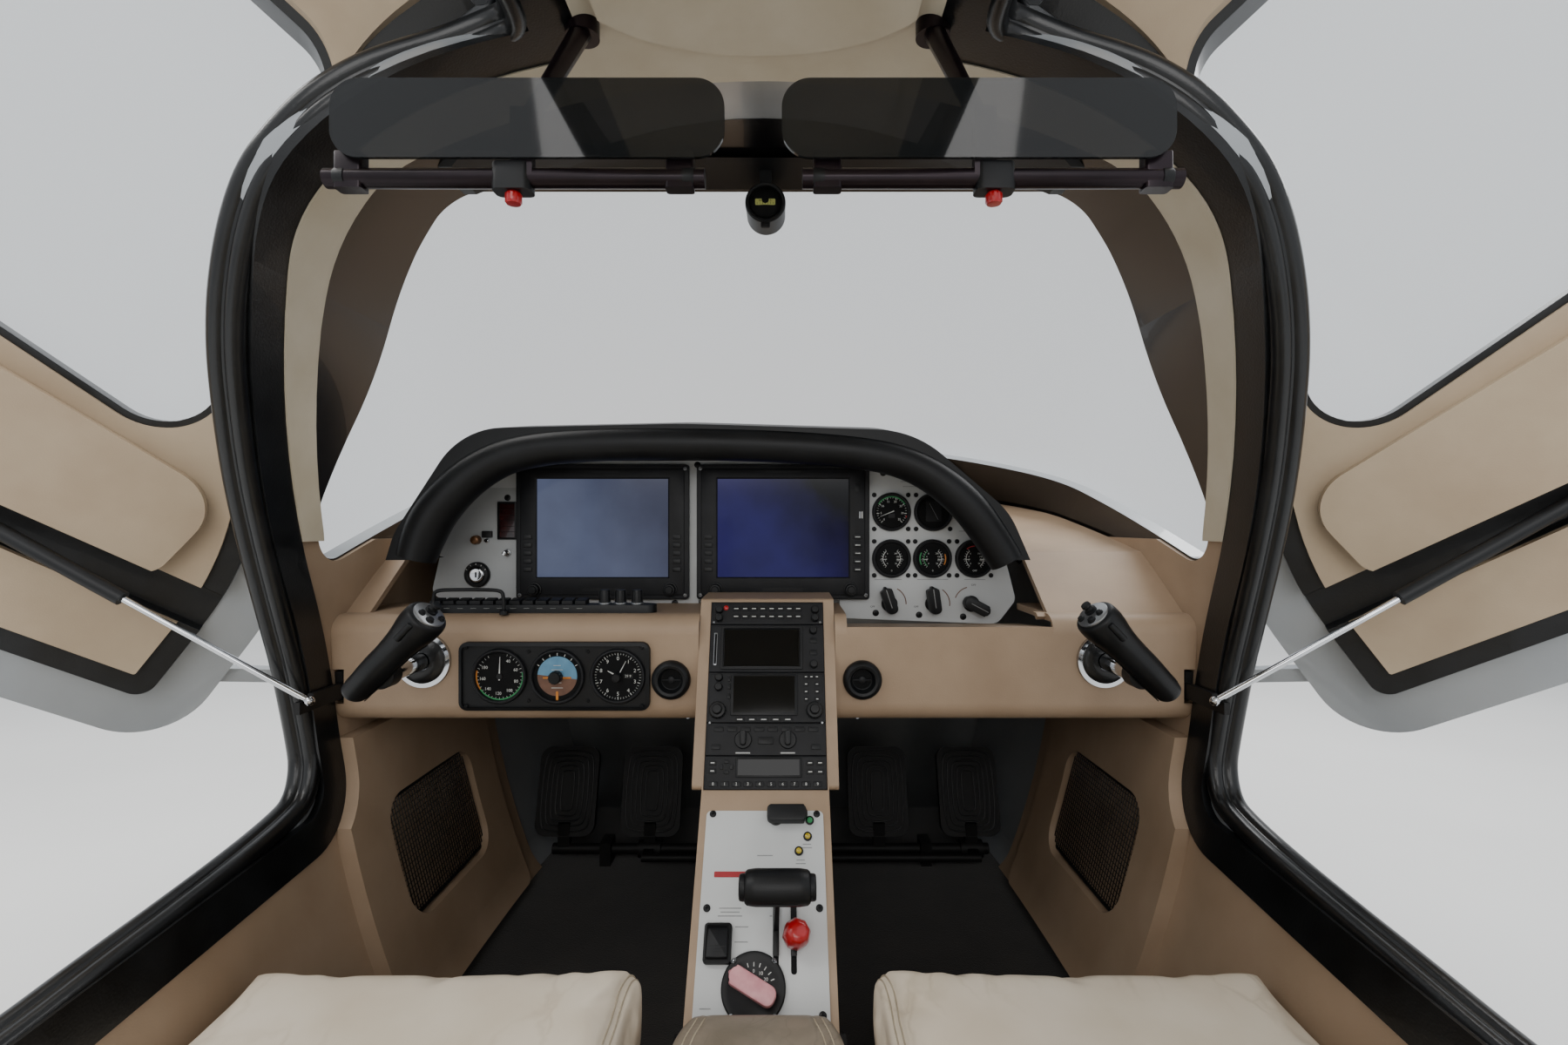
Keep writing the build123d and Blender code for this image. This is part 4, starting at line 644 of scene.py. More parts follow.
def addDisplay(name, middle, paintedReflectionScreen, brightKeys, slotMark):
    wide, tall, thick = displayModel["flange"]
    bezel = addBlock((wide, tall, thick), (0, 0, 7.5), 0, 0, bezelBlack)
    openFaces(bezel, lambda center, normal: normal.z > 0.9)
    bpy.ops.mesh.inset(thickness=displayModel["rim"] * mm)
    bpy.ops.mesh.extrude_region_move(TRANSFORM_OT_translate={"value": (0, 0, 1.5 * mm)})
    bpy.ops.transform.resize(value=(0.994, 0.992, 1), center_override=(0, 0, 0))
    bpy.ops.mesh.inset(thickness=15.8 * mm)
    screenWide, screenTall = displayModel["screen"]
    up = displayModel["screenUp"] * mm
    inner = (wide - 45.5, tall - 45.5)
    bpy.ops.transform.resize(value=((screenWide + 5) / inner[0], (screenTall + 5) / inner[1], 1),
                             center_override=(0, 0, 0))
    bpy.ops.transform.translate(value=(0, up, 0))
    bpy.ops.mesh.extrude_region_move(TRANSFORM_OT_translate={"value": (0, 0, -2.2 * mm)})
    bpy.ops.transform.resize(value=(screenWide / (screenWide + 5), screenTall / (screenTall + 5), 1),
                             center_override=(0, up, 0))
    bpy.ops.mesh.extrude_region_move(TRANSFORM_OT_translate={"value": (0, 0, -0.8 * mm)})
    openEdges(bezel, lambda a, b: abs(a.z - b.z) > 8 * mm)
    bpy.ops.mesh.bevel(offset=5 * mm, segments=4, affect="EDGES")
    closeMesh()
    runModifier(bezel, "BEVEL", width=0.6 * mm, segments=2)
    # the screen strip is dark glass glowing with a painted reflection
    parts = [bezel, addStrip((screenWide, screenTall, 0.6), (0, displayModel["screenUp"], 10.5),
                             paintedReflectionScreen)]
    parts.append(addStrip((wide - 4, tall - 4, 4), (0, 0, 2), bezelBlack))
    parts += addScrews([(sx * 132, sy * 101) for sx in (-1, 1) for sy in (-1, 1)], grilleGrey, 3.2, 12)
    for side in (-1, 1):
        for down in displayModel["keyDown"]:
            parts.append(addBlock(displayModel["keySize"], (side * 119, down, 14.2), 1.6, 0.5, blackAbs))
            if brightKeys and side > 0:
                parts.append(addStrip((8, 1.3, 0.1), (side * 119, down, 15.45), whiteInk))
        x, y = side * displayModel["knobs"][0], displayModel["knobs"][1]
        collar = [(12, 13.4), (11.5, 15.5), (9.6, 16), (9.6, 16.2)]
        parts.append(addTurned(collar, (x, y, 0), 36, bezelBlack))
        parts.append(addKnob([(9.4, 14), (9.0, 21), (8.2, 22.4), (6.2, 22.6), (6.0, 25), (5.2, 25.8),
                              (0, 26)], 16, (x, y, 0), blackAbs))
    if slotMark:
        parts.append(addBlock((2.2, 11, 0.4), (126, 27, 13.6), 0.8, 0, whiteInk))
        parts.append(addBlock((2.2, 11, 0.4), (122.5, 27, 13.6), 0.8, 0, grilleGrey))
        parts.append(addBlock((9, 14, 0.8), (119, 70, 13.7), 1.5, 0.3, blackAbs))
    parts.append(addBlock((56, 3.4, 0.3), (0, 96, 13.6), 1.2, 0, blackAbs))
    parts.append(addBlock((64, 5, 0.3), (0, -92, 13.6), 1.8, 0, blackAbs))
    return keep(parts, name, "airframe", viewFrame(middle, 0, 765))


leftDisplay = addDisplay("leftDisplay", -262, paleReflectionScreen, False, False)
addDisplay("rightDisplay", 26.5, blueReflectionScreen, True, True)
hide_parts("flight_displays")

panelFrame = viewFrame(0, 0, 0)

# Engine gauges in turned bezels, each with four screws: x, height, kind of dial
gaugeModel = {
    "bezel": [(31, 0), (31, 6.4), (30, 8.6), (28.2, 9.4), (26.6, 8.8), (25.8, 6.6), (25.8, 5.4)],
    "places": ((201, 797, "speed"), (268.5, 797, "dark"), (201, 722, "twin"), (267, 722, "bright"),
               (334.6, 722, "cross")),
}
gaugeParts = []
for x, z, kind in gaugeModel["places"]:
    dial = [addTurned(gaugeModel["bezel"], around=48, material=bezelBlack)]
    dial.append(addTurned([(25.9, 0), (25.9, 5.4), (0, 5.4)], around=48, material=mattBlackAndShade))
    if kind == "speed":
        dial += addTicks(-135, 135, 28, 23, (0.45, 2.6), whiteInk, 5.6)
        dial += addTicks(-135, 135, 8, 22.2, (0.8, 4.2), whiteInk, 5.62)
        dial += addArc(-60, 62, 24.4, 1.5, greenInk, 5.64)
        dial += addArc(104, 112, 24.4, 1.5, redInk, 5.64)
        dial += addNumbers("0 5 10 15 20 25 30 35".split(), -135, 135, 17.2, 3.4, whiteInk, 5.6)
        dial += movedTo(addNeedle(-112, 20, 1.6, whiteInk), 0, 0, 5.8)
        dial.append(addBlock((10, 7, 0.2), (0, -6, 5.6), 1, 0, bezelBlack))
    elif kind == "dark":
        dial.append(addBlock((25, 33, 0.3), (0, 1, 5.6), 2, 0, bezelBlack))
        dial += movedTo([addStrip((0.6, 30, 0.1), (0, 0, 0), grilleGrey)], 0, 1, 5.9)
        dial[-1].rotation_euler = (0, 0, math.radians(28))
    else:
        left = greenInk if kind == "bright" else whiteInk
        for side in (-1, 1):
            start = 40 if side > 0 else -140
            dial += movedTo(addArc(start, start + 100, 15.5, 0.9, left if side < 0 else whiteInk, 5.6),
                            -side * 1.5, 0)
            dial += movedTo(addTicks(start, start + 100, 9, 17.4, (0.5, 2.6), whiteInk, 5.6), -side * 1.5, 0)
            words = ("200", "150", "100", "50") if side > 0 else ("0", "2", "4", "6")
            dial += movedTo(addNumbers(words, start + 6, start + 94, 11.6, 2.6, whiteInk, 5.6), -side * 1.5,
                            0)
            dial += movedTo(addNeedle(side * 96, 10, 1.1, whiteInk, 0.5, 0.1), side * 9, -1, 5.7)
        if kind == "bright":
            dial += addArc(-118, -62, 20.6, 1.8, greenInk, 5.66)
            dial += addArc(70, 118, 20.6, 1.8, amberInk, 5.66)
        if kind == "cross":
            dial += movedTo(addArc(-40, 0, 20, 1.2, redInk, 5.66), 0, 0)
        dial.append(addText("OFF" if kind == "cross" else "0", 3.0, (0, -19.5, 5.6), material=whiteInk))
    dial += addScrews([(sx * 27.4, sy * 27.4) for sx in (-1, 1) for sy in (-1, 1)], blackAbs, 3.8, 0)
    gaugeParts += movedTo(dial, x, z)
keep(gaugeParts, "engineGauges", "airframe", panelFrame, replaces=("engine_gauges",))

# Controls on the panel: pointer knobs with printed arcs, key switch, hour meter, toggles and the bare plate
panelModel = {
    "pointers": ((198, 649, -18, 28, 92), (268.5, 649, -8, 34, 96), (330, 649, 118, -70, -14)),
    "key": (-466, 696), "meter": (-418, 783), "toggles": ((323, 780), (-418, 731)), "plug": (-467, 752),
    "plate": (-462, 727, 74, 11),
    "screws": ((-111.7, 873), (188, 860), (-418, 820), (-503, 650), (-326, 650), (-148, 650), (-107.5, 661),
               (176, 634), (246, 631), (317, 628)),
    "dashes": ((-480, 818, 40), (-480, 808, 34), (-492, 786, 46), (-492, 775, 46), (-490, 765, 42),
               (233, 846, 34), (233, 838, 26), (196, 688, 44), (268, 688, 50), (336, 688, 34),
               (323, 796, 22), (323, 766, 26)),
}
panelParts = []
for x, z, turn, arcStart, arcEnd in panelModel["pointers"]:
    skirt = addTurned([(13, 0), (13, 3), (11.5, 4.5), (0, 4.6)], around=36, material=blackAbs)
    blade = addBlock((19, 44, 17), (0, 7, 12.6), 8, 1.6, blackAbs)
    narrowEnd(blade, "y", 0.55, (0.42, 1, 0.85), (0, 29, 12.6))
    stripe = addStrip((1.2, 30, 0.2), (0, 10, 21.15), grilleGrey)
    pointer = ringOf(joinAll([skirt, blade, stripe]), [turn])
    arcs = addArc(min(arcStart, arcEnd), max(arcStart, arcEnd), 27, 1.7, earthInk, 0.15)
    panelParts += movedTo(pointer + arcs, x, z)
    panelParts.append(addText("OFF", 3.2, (x - 27 if turn < 90 else x + 4, z - 5 if turn < 90 else z + 30,
                                           0.1), material=mattBlackAndShade))
keyX, keyZ = panelModel["key"]
ring = [addTurned([(20.5, 0), (20.5, 5), (18.5, 7.5), (14.5, 8), (13.2, 7.2), (13.2, 4)], around=48,
                  material=blackAbs)]
ring.append(addTurned([(13.4, 0), (13.4, 5), (11.8, 7.8), (9.5, 8.8), (8.6, 8.6), (0, 8.4)], around=40,
                      material=chrome))
# the keyhole is a matt black strip: painted shade in the slot
ring.append(addStrip((2.2, 8.5, 0.5), (0, 0, 8.8), mattBlackAndShade))
ring += addTicks(-60, 60, 5, 17.2, (0.9, 2.2), whiteInk, 8.1)
panelParts += movedTo(ring, keyX, keyZ)
meterX, meterZ = panelModel["meter"]
meter = addBlock((31, 61, 4.2), (0, 0, 2), 1.5, 0.6, blackAbs)
sinkFace(meter, 2.6, 1.6)
meterFace = [meter, addStrip((24, 54, 0.4), (0, 0, 2.7), meterRed)]
meterFace += [addStrip((24, 0.7, 0.2), (0, y, 2.95), mattBlackAndShade) for y in (-18, -9, 0, 9, 18)]
panelParts += movedTo(meterFace, meterX, meterZ)
for x, z in panelModel["toggles"]:
    nut = addTurned([(6.4, 0), (6.4, 2.2), (5.4, 2.8), (3.6, 3)], around=6, material=grilleGrey)
    collar = addTurned([(4.1, 2), (4.1, 5.5), (2.6, 6.4)], around=24, material=chrome)
    bat = addTurned([(1.7, 4), (2.0, 9), (3.0, 15), (2.8, 17), (0, 17.6)], around=24, material=chrome)
    bat.rotation_euler = (math.radians(-16), 0, 0)
    panelParts += movedTo([nut, collar, bat], x, z)
plugX, plugZ = panelModel["plug"]
panelParts += movedTo([
    addKnob([(7.2, 0), (7.2, 8), (6.4, 12), (5.2, 13), (0, 13.2)], 12, (0, 0, 0), brassKnob),
    addBlock((16, 11, 6), (17, 9, 3), 1.5, 0.8, blackAbs),
    addTurned([(3.4, 0), (3.4, 7), (2.4, 8), (0, 8.2)], (17, -1, 0), 20, chrome),
], plugX, plugZ)
plateX, plateZ, plateWide, plateTall = panelModel["plate"]
panelParts.append(addBlock((plateWide, plateTall, 0.4), (plateX, plateZ, 0.3), 0.6, 0, whiteLabel))
panelParts += addScrews(panelModel["screws"], blackAbs, 5.2)
panelParts += addDashes(panelModel["dashes"], 1.0, 0.1, greyInk)
keep(panelParts, "panelControls", "airframe", panelFrame, replaces=("panel_controls",))

# The darker plate over the panel's left end, cut from the panel's own outline
subPlate = freeCopy("instrument_panel", Matrix.Translation((0, -0.7 * mm, 0)))
for at, facing in (((-403, 0, 0), (1, 0, 0)), ((0, 0, 836), (0, 0, 1))):
    openMesh(subPlate)
    bpy.ops.mesh.bisect(plane_co=Vector(at) * mm, plane_no=facing, clear_outer=True, use_fill=True)
    closeMesh()
paint(subPlate, greyPlate)
keep([subPlate], "panelSubPlate", "airframe")
print("panel ready")

# Switch row on the bolster: rounded strip, rockers, three upright knobs and the wire handle
switchParts = []
strip = addBlock((352, 28, 12), (-333, -112, 656), 13, 1.5, blackAbs)
switchParts.append(strip)
for i in range(12):
    x = -474 + i * 19.0
    rocker = addBlock((15, 19, 10), (x, -113, 664), 0, 1.2, bezelBlack)
    rocker.rotation_euler = (math.radians(9), 0, 0)
    switchParts.append(rocker)
    switchParts.append(addStrip((8, 0.8, 0.2), (x, -127.2, 657), whiteInk))
for x in (-232, -209, -185):
    switchParts.append(addTurned([(9.5, 661), (9.5, 664), (8, 665)], (x, -114, 0), 32, grilleGrey))
    switchParts.append(addKnob([(7.8, 663), (7.6, 680), (6.8, 682.4), (0, 683)], 12, (x, -114, 0), blackAbs,
                               0.5))
handle = [(-468, -140, 655), (-468, -140, 676), (-464, -140, 684), (-440, -140, 685), (-396, -140, 685),
          (-372, -140, 684), (-368, -140, 676), (-368, -140, 655)]
switchParts.append(addTube(handle, 2.6, material=blackAbs))
for x in (-468, -368):
    switchParts.append(addTurned([(6, 650), (6, 655), (4, 657), (0, 657.4)], (x, -140, 0), 24, blackAbs))
keep(switchParts, "switchRow", "airframe", replaces=("switch_row",))

# Three standby instruments behind one raised rim
clusterFrame = viewFrame(0, -153, 0)
clusterModel = {"middle": (-290.5, 566.5), "size": (265, 95, 8), "corner": 12, "dials": (-366, -286, -202),
                "up": 567,
                "screws": ((-326, 533, 5.8), (-326, 601, 5.8), (-244, 601, 5.8), (-244, 533, 5.8),
                           (-412, 526, 7.4), (-412, 607, 7.4), (-169, 526, 7.4), (-169, 607, 7.4))}
clusterX, clusterZ = clusterModel["middle"]
plate = addBlock(clusterModel["size"], (clusterX, clusterZ, 4), clusterModel["corner"], 1.5, blackAbs)
sinkFace(plate, 5, 2.2)
clusterParts = [plate]
for index, x in enumerate(clusterModel["dials"]):
    bezel = [(38.4, 5), (38.4, 9), (37, 11.6), (35.4, 12), (34, 11), (33, 7.6), (33, 6.4)]
    dial = [addTurned(bezel, around=56, material=bezelBlack)]
    dial.append(addTurned([(33.2, 0), (33.2, 6.6), (0, 6.6)], around=56, material=mattBlackAndShade))
    if index == 0:
        dial += addTicks(20, 330, 32, 30.6, (0.5, 3), whiteInk, 6.8)
        dial += addArc(80, 236, 32, 1.8, greenInk, 6.8)
        dial += addArc(236, 284, 32, 1.8, amberInk, 6.8)
        dial += addNumbers("40 60 80 100 120 140 160 180".split(), 30, 300, 24, 4.4, whiteInk, 6.8)
        dial += movedTo(addNeedle(2, 27, 2.2, whiteInk, 0.6), 0, 0, 7.2)
        dial.append(addTurned([(4, 6.6), (4, 8.4), (0, 8.6)], around=24, material=blackAbs))
    elif index == 1:
        sky = addTurned([(27.5, 6.6), (27.5, 7.0), (0, 7.4)], around=48, material=skyInk)
        ground = addTurned([(27.5, 6.7), (27.5, 7.1), (0, 7.5)], around=48, material=earthInk)
        openMesh(ground)
        bpy.ops.mesh.bisect(plane_co=(0, -1 * mm, 0), plane_no=(0.12, 1, 0), clear_outer=True)
        closeMesh()
        dial += [sky, ground]
        dial += addTicks(-60, 60, 7, 30.4, (0.9, 3.6), whiteInk, 7.0)
        for y, wide in ((15, 10), (9, 16), (-9, 12), (-16, 16)):
            dial.append(addStrip((wide, 0.8, 0.1), (0, y, 7.6), whiteInk))
        for side in (-1, 1):
            wing = addStrip((13, 2.4, 0.8), (side * 13, -2, 8), amberInk)
            dial.append(wing)
        dial.append(addTurned([(1.8, 7.6), (1.8, 8.4), (0, 8.5)], (0, -2, 0), 16, amberInk))
        dial.append(addBlock((3.4, 12, 1.4), (0, -27, 7.2), 0.6, 0.3, amberInk))
        dial.append(addKnob([(8.5, 10), (8.5, 20), (7.5, 22), (0, 22.4)], 12, (0, -36, 0), blackAbs, 0.4))
    else:
        dial += addTicks(0, 352.8, 50, 31, (0.45, 2.4), whiteInk, 6.8)
        dial += addTicks(0, 324, 10, 30.4, (0.9, 4), whiteInk, 6.82)
        dial += addNumbers("0 1 2 3 4 5 6 7 8 9".split(), 0, 324, 24.6, 5.4, whiteInk, 6.8)
        dial.append(addBlock((13, 6.4, 0.3), (14, 0, 6.8), 0.6, 0, bezelBlack))
        dial.append(addText("29 9", 3.6, (14, 0, 7.0), material=whiteInk))
        dial += movedTo(addNeedle(28, 24, 1.8, whiteInk, 0.7), 0, 0, 7.2)
        dial += movedTo(addNeedle(-62, 16, 3.2, whiteInk, 0.4), 0, 0, 7.0)
        dial.append(addTurned([(3, 7), (3, 8.6), (0, 8.8)], around=24, material=blackAbs))
        dial.append(addKnob([(6.2, 9), (6.0, 19), (5.2, 20.5), (0, 20.8)], 12, (-29, -31, 0), blackAbs, 0.4))
    clusterParts += movedTo(dial, x, clusterModel["up"])
for x, y, depth in clusterModel["screws"]:
    clusterParts += addScrews([(x, y)], blackAbs, 2.6, depth)
keep(clusterParts, "standbyCluster", "airframe", clusterFrame, replaces=("standby_cluster",))

# Air vents beside the stack: a rolled ring round a hollow eyeball with a sunk vane
ventModel = {"places": ((-129, 561), (137, 561)), "ring": [(27, 0), (27, 6), (25, 10), (21, 12), (17.5, 11),
                                                           (15.5, 7), (14, 1.2), (13, 0.8)]}
ventParts = []
for x, z in ventModel["places"]:
    vent = [addTurned(ventModel["ring"], around=48, material=blackAbs)]
    # the eyeball's hollow is a flat matt black disc: black plastic, darkened further as painted shade
    vent.append(addTurned([(13.4, 0.9), (0, 0.9)], around=48, material=mattBlackAndShade))
    vent.append(addTurned([(5, 0.9), (5, 3), (3.8, 4), (0, 4.2)], around=32, material=bezelBlack))
    vent.append(addBlock((26, 2, 3), (0, 0, 2), edge=0.3, material=bezelBlack))
    ventParts += movedTo(vent, x, z)
keep(ventParts, "airVents", "airframe", clusterFrame, replaces=("air_vents",))
print("switches, standby dials and vents ready")

# Avionics column: five black units, top to bottom
stackFrame = viewFrame(4, -124, 665, 65.5)
stackModel = {
    "wide": 159, "front": 2.0, "units": (33, 67.6, 67.6, 42, 42),
    "dialKnob": [(11, 2), (11, 8), (9.8, 9.6), (6.4, 10), (6.2, 16), (5.4, 17), (0, 17.2)],
    "smallKnob": [(5.4, 2), (5.2, 8.4), (4.4, 9.4), (0, 9.6)],
}
stackParts = [addBlock((158.4, 251.6, 40), (0, -126.1, -28), 0, 0, blackAbs)]
top = 0.0
for height in stackModel["units"]:
    face = addBlock((stackModel["wide"], height - 0.8, 10), (0, -top - height / 2, -3), 0, 0.8, bezelBlack)
    sinkFace(face, 1.6, 0.7)
    stackParts.append(face)
    top += height


def addKeys(places, size=(9.5, 5.4, 2.2), mark=0.0, ink=None):
    parts = []
    for x, y in places:
        parts.append(addBlock(size, (x, y, 2.2), 1.0, 0.4, blackAbs))
        if mark:
            parts.append(addStrip((mark, 1.2, 0.1), (x, y, 3.34), ink or whiteInk))
    return parts


stackParts += addKeys([(-44 + 12.6 * i, y) for i in range(8) for y in (-10, -21.5)], mark=6)
stackParts += [addKnob(stackModel["smallKnob"], 12, (x, y, 0), blackAbs, 0.3)
               for x, y in ((-68, -12), (68, -12), (-68, -24), (68, -24))]
stackParts.append(addTurned([(3.4, 1), (3.4, 4), (2, 5), (0, 5.2)], (-58.5, -9, 0), 24, redPlastic))
mapBezel = addBlock((113, 61, 5), (-7, -66.8, 2.4), 2.5, 0.9, blackAbs)
openFaces(mapBezel, lambda center, normal: normal.z > 0.9)
bpy.ops.mesh.extrude_region_move(TRANSFORM_OT_translate={"value": (0, 0, 0.01 * mm)})
bpy.ops.transform.resize(value=(0.955, 0.915, 1), center_override=(-7 * mm, -66.8 * mm, 0))
bpy.ops.mesh.extrude_region_move(TRANSFORM_OT_translate={"value": (0, 0, -2.4 * mm)})
closeMesh()
stackParts += [mapBezel, addStrip((104, 51.5, 0.6), (-7, -66.8, 2.6), darkScreen)]
# a card slot: silver rim round a matt black strip, painted shade in the opening
stackParts.append(addBlock((4.6, 46, 1.2), (-71.5, -68, 1.8), 1.2, 0.3, grilleGrey))
stackParts.append(addBlock((3.0, 42, 1.0), (-71.5, -68, 2.2), 1.0, 0.2, mattBlackAndShade))
stackParts += addKeys([(65, -56), (65, -73)], (10, 7, 2.4), 5)
stackParts.append(addKnob(stackModel["smallKnob"], 12, (65, -42, 0), blackAbs, 0.3))
stackParts.append(addKnob(stackModel["smallKnob"], 12, (65, -90, 0), blackAbs, 0.3))
navBezel = addBlock((90, 56, 4.4), (-3, -131, 2.2), 2, 0.8, blackAbs)
stackParts += [navBezel, addStrip((83, 49, 0.6), (-3, -131, 4.3), darkScreen)]
stackParts += [addKnob(stackModel["dialKnob"], 16, (x, -152, 0), blackAbs) for x in (-65, 65)]
stackParts += [addKnob(stackModel["smallKnob"], 12, (-65, y, 0), blackAbs, 0.3) for y in (-108, -121)]
stackParts += addKeys([(-51, y) for y in (-110, -120, -133)], (4.6, 7, 2.2))
stackParts += addKeys([(x, y) for x in (54, 69)
                       for y in (-117, -127, -137)] + [(x, -107) for x in (54, 61.5, 69)], (5.6, 4.6, 2), 3)
stackParts += addKeys([(-35 + 16 * i, -164) for i in range(5)], (12, 4.4, 2), 7)
stackParts += addKeys([(-63 + 18 * i, -176.4) for i in range(8)], (13, 6, 2))
stackParts += addKeys([(-66, -199), (66, -199)], (12, 6.4, 2))
stackParts += addKeys([(0, -191)], (20, 9, 2.4))
for x in (-30, 29):
    stackParts.append(addTurned([(11.5, 1.6), (11.5, 3.6), (10.5, 4.6), (0, 4.8)], (x, -190, 0), 40,
                                blackAbs))
    grip = addBlock((8, 19, 11), (x, -188, 9), 3.4, 1.2, blackAbs)
    narrowEnd(grip, "y", 0.55, (0.35, 1, 0.7), (x, -178, 9))
    stackParts += [grip, addStrip((1.2, 6, 0.2), (x, -183, 14.2), whiteInk)]
    stackParts.append(addStrip((19, 1.4, 0.1), (x, -206.5, 1.4), whiteInk))
stackParts.append(addBlock((86, 25, 3.4), (4, -224.5, 1.9), 2, 0.8, blackAbs))
stackParts.append(addStrip((80, 19.5, 0.6), (4, -224.5, 3.5), darkScreen))
stackParts += addKeys([(-69, -219), (-69, -229), (58, -219), (71, -219), (58, -230), (71, -230)],
                      (9, 5.6, 2), 5)
for angle in (0, 90, 180, 270):
    pad = addBlock((6.4, 4.2, 2.2), (0, 6.6, 2.4), 0.8, 0.4, blackAbs)
    stackParts += movedTo(ringOf(pad, [angle]), -51, -224)
for i in range(10):
    x = -67.5 + 15 * i
    stackParts += addKeys([(x, -245)], (11, 6.4, 2.2))
    stackParts.append(addText(str(i), 3.8, (x, -245, 3.35), material=whiteInk))
stackParts += addScrews([(x, y) for x in (-75, 75) for y in (-30, -168.2)], grilleGrey, 1.8, 1.4, False)
keep(stackParts, "avionicsStack", "airframe", stackFrame, replaces=("avionics_stack",))
print("avionics ready")

# Console plate: flap paddle, lamps, pump rocker, fuel selector, labels and screws
slopeFrame = viewFrame(4, -245, 417, 48.3)
plateTop = 2.5
slopeModel = {"flap": (14, -11), "lamps": ((56, -14, "green"), (53, -33, "amber"), (42, -50, "amber")),
              "rocker": (-50, -148), "selector": (-9, -190), "slots": (15, 35),
              "dashes": ((1, -55, 19), (52, -42, 10), (52, -46, 12), (44, -60, 10), (44, -64, 12),
                         (-38, -112, 26), (-38, -116, 22), (-38, -120, 28), (-24, -131, 15),
                         (-24, -146, 15), (-24, -162, 12), (-60, -208, 12), (9, -100, 3), (9, -120, 3))}
flapX, flapY = slopeModel["flap"]
paddle = addLoft([(0, 9, 9, 0, 0), (5, 9, 9, 0, 0), (6, 8.6, 8.6, 0, 0)], 32, blackAbs)
blade = addBlock((50, 20, 13), (14, 2, 11), 6, 1.8, blackAbs)
narrowEnd(blade, "x", 0.55, (1, 0.5, 0.72), (39, 2, 11))
slopeParts = movedTo([paddle, blade], flapX, flapY, plateTop)
for x, y, tint in slopeModel["lamps"]:
    bezel = addTurned([(5.4, 0), (5.2, 2.2), (3.8, 2.8), (3.4, 2.2)], around=28, material=blackAbs)
    lens = addTurned([(3.5, 1), (3.4, 2.8), (2.4, 3.8), (0, 4.2)], around=24,
                     material=greenInk if tint == "green" else lampAmber)
    slopeParts += movedTo([bezel, lens], x, y, plateTop)
rockerX, rockerY = slopeModel["rocker"]
rockerFrame = addBlock((31, 40, 8), (0, 0, 4), 4, 1.2, blackAbs)
sinkFace(rockerFrame, 2.4, 3)
key = addBlock((23, 31, 7), (0, 0, 8.6), 1, 1, bezelBlack)
openFaces(key, lambda center, normal: normal.z > 0.9)
bpy.ops.transform.rotate(value=math.radians(11), orient_axis="X", center_override=(0, 0, 10 * mm))
closeMesh()
ridges = [addBlock((19, 1.2, 0.7), (0, y, 12 - y * 0.17), edge=0.2, material=blackAbs) for y in (-10, -7, -4)]
slopeParts += movedTo([rockerFrame, key, *ridges], rockerX, rockerY, plateTop)
selectorX, selectorY = slopeModel["selector"]
selector = [addTurned([(35, 0), (35, 3.4), (33.4, 5), (28, 5.2), (26.6, 4.4), (0, 4.4)], around=56,
                      material=blackAbs)]
selector += addTicks(-70, 70, 9, 22, (0.9, 4), whiteInk, 4.6)
selector += addNumbers("20 10 0 10 20".split(), -60, 60, 15.5, 3.6, whiteInk, 4.6)
selector += addScrews([(-21, 24), (21, 24), (-21, -24), (21, -24)], grilleGrey, 4.2, 3.2)
pointer = addBlock((20, 56, 13), (0, 2, 11.4), 8, 2.4, pinkPlastic)
narrowEnd(pointer, "y", 0.5, (0.34, 1, 0.7), (0, 30, 11))
selector += ringOf(pointer, [-62])
slopeParts += movedTo(selector, selectorX, selectorY, plateTop)
slopeParts.append(addBlock((50, 6.4, 0.3), (-34, -76, plateTop + 0.2), 1, 0, redLabel))
slopeParts += addDashes(slopeModel["dashes"], 1.2, plateTop + 0.06, greyInk)
slopeParts += addScrews([(-65, -6), (65, -6), (-65, -112), (65, -112), (65, -214)], blackAbs, 4.2, plateTop)
# the lever slots are matt black strips: painted shade in the openings
for x in slopeModel["slots"]:
    slopeParts.append(addBlock((6.4, 58, 0.4), (x, -148, plateTop + 0.1), 2.8, 0, mattBlackAndShade))
keep(slopeParts, "consoleControls", "airframe", slopeFrame, replaces=("console_controls",))

# Throttle: flat arm with a leather-wrapped cross roller, and the red faceted mixture knob on its own arm
leverModel = {
    "throttle": {"foot": (19, -333, 321), "grip": (21, -365, 382), "arm": (5, 13)},
    "mixture": {"foot": (39, -332, 320), "grip": (42, -357, 327), "arm": (5, 10)},
}


def addArm(which):
    foot, grip = Vector(leverModel[which]["foot"]), Vector(leverModel[which]["grip"])
    wide, deep = leverModel[which]["arm"]
    arm = addBlock((wide, deep, (grip - foot).length + 12), (0, 0, (grip - foot).length / 2 - 6), edge=0.6,
                   material=blackAbs)
    return applyPlace(arm, aimFrame(foot, grip))


roller = addTurned([(0, -42), (12, -42), (13.4, -41), (14, -38), (14, -36), (15.6, -35.6), (17.8, -33),
                    (19, -24), (19, 24), (17.8, 33), (15.6, 35.6), (14, 36), (14, 38), (13.4, 41),
                    (12, 42), (0, 42)], around=48, material=blackHide)
roller.rotation_euler = (0, math.radians(90), 0)
roller.location = Vector(leverModel["throttle"]["grip"]) * mm
seam = addTube([(21 - 24, -380.5, 371), (21, -380.8, 370.6), (21 + 24, -380.5, 371)], 0.7, material=blackAbs)
slotCover = addBlock((7, 50, 3), (15, -135, plateTop + 1.5), 1.5, 0.4, blackAbs)
applyPlace(slotCover, slopeFrame)
keep([addArm("throttle"), roller, seam, slotCover], "throttleLever", "airframe",
     replaces=("throttle_lever",))
facet = addTurned([(8, -2), (13, 1), (15.4, 6), (15.4, 18), (12.5, 25), (8, 28), (0, 28.4)], around=8,
                  material=redPlastic)
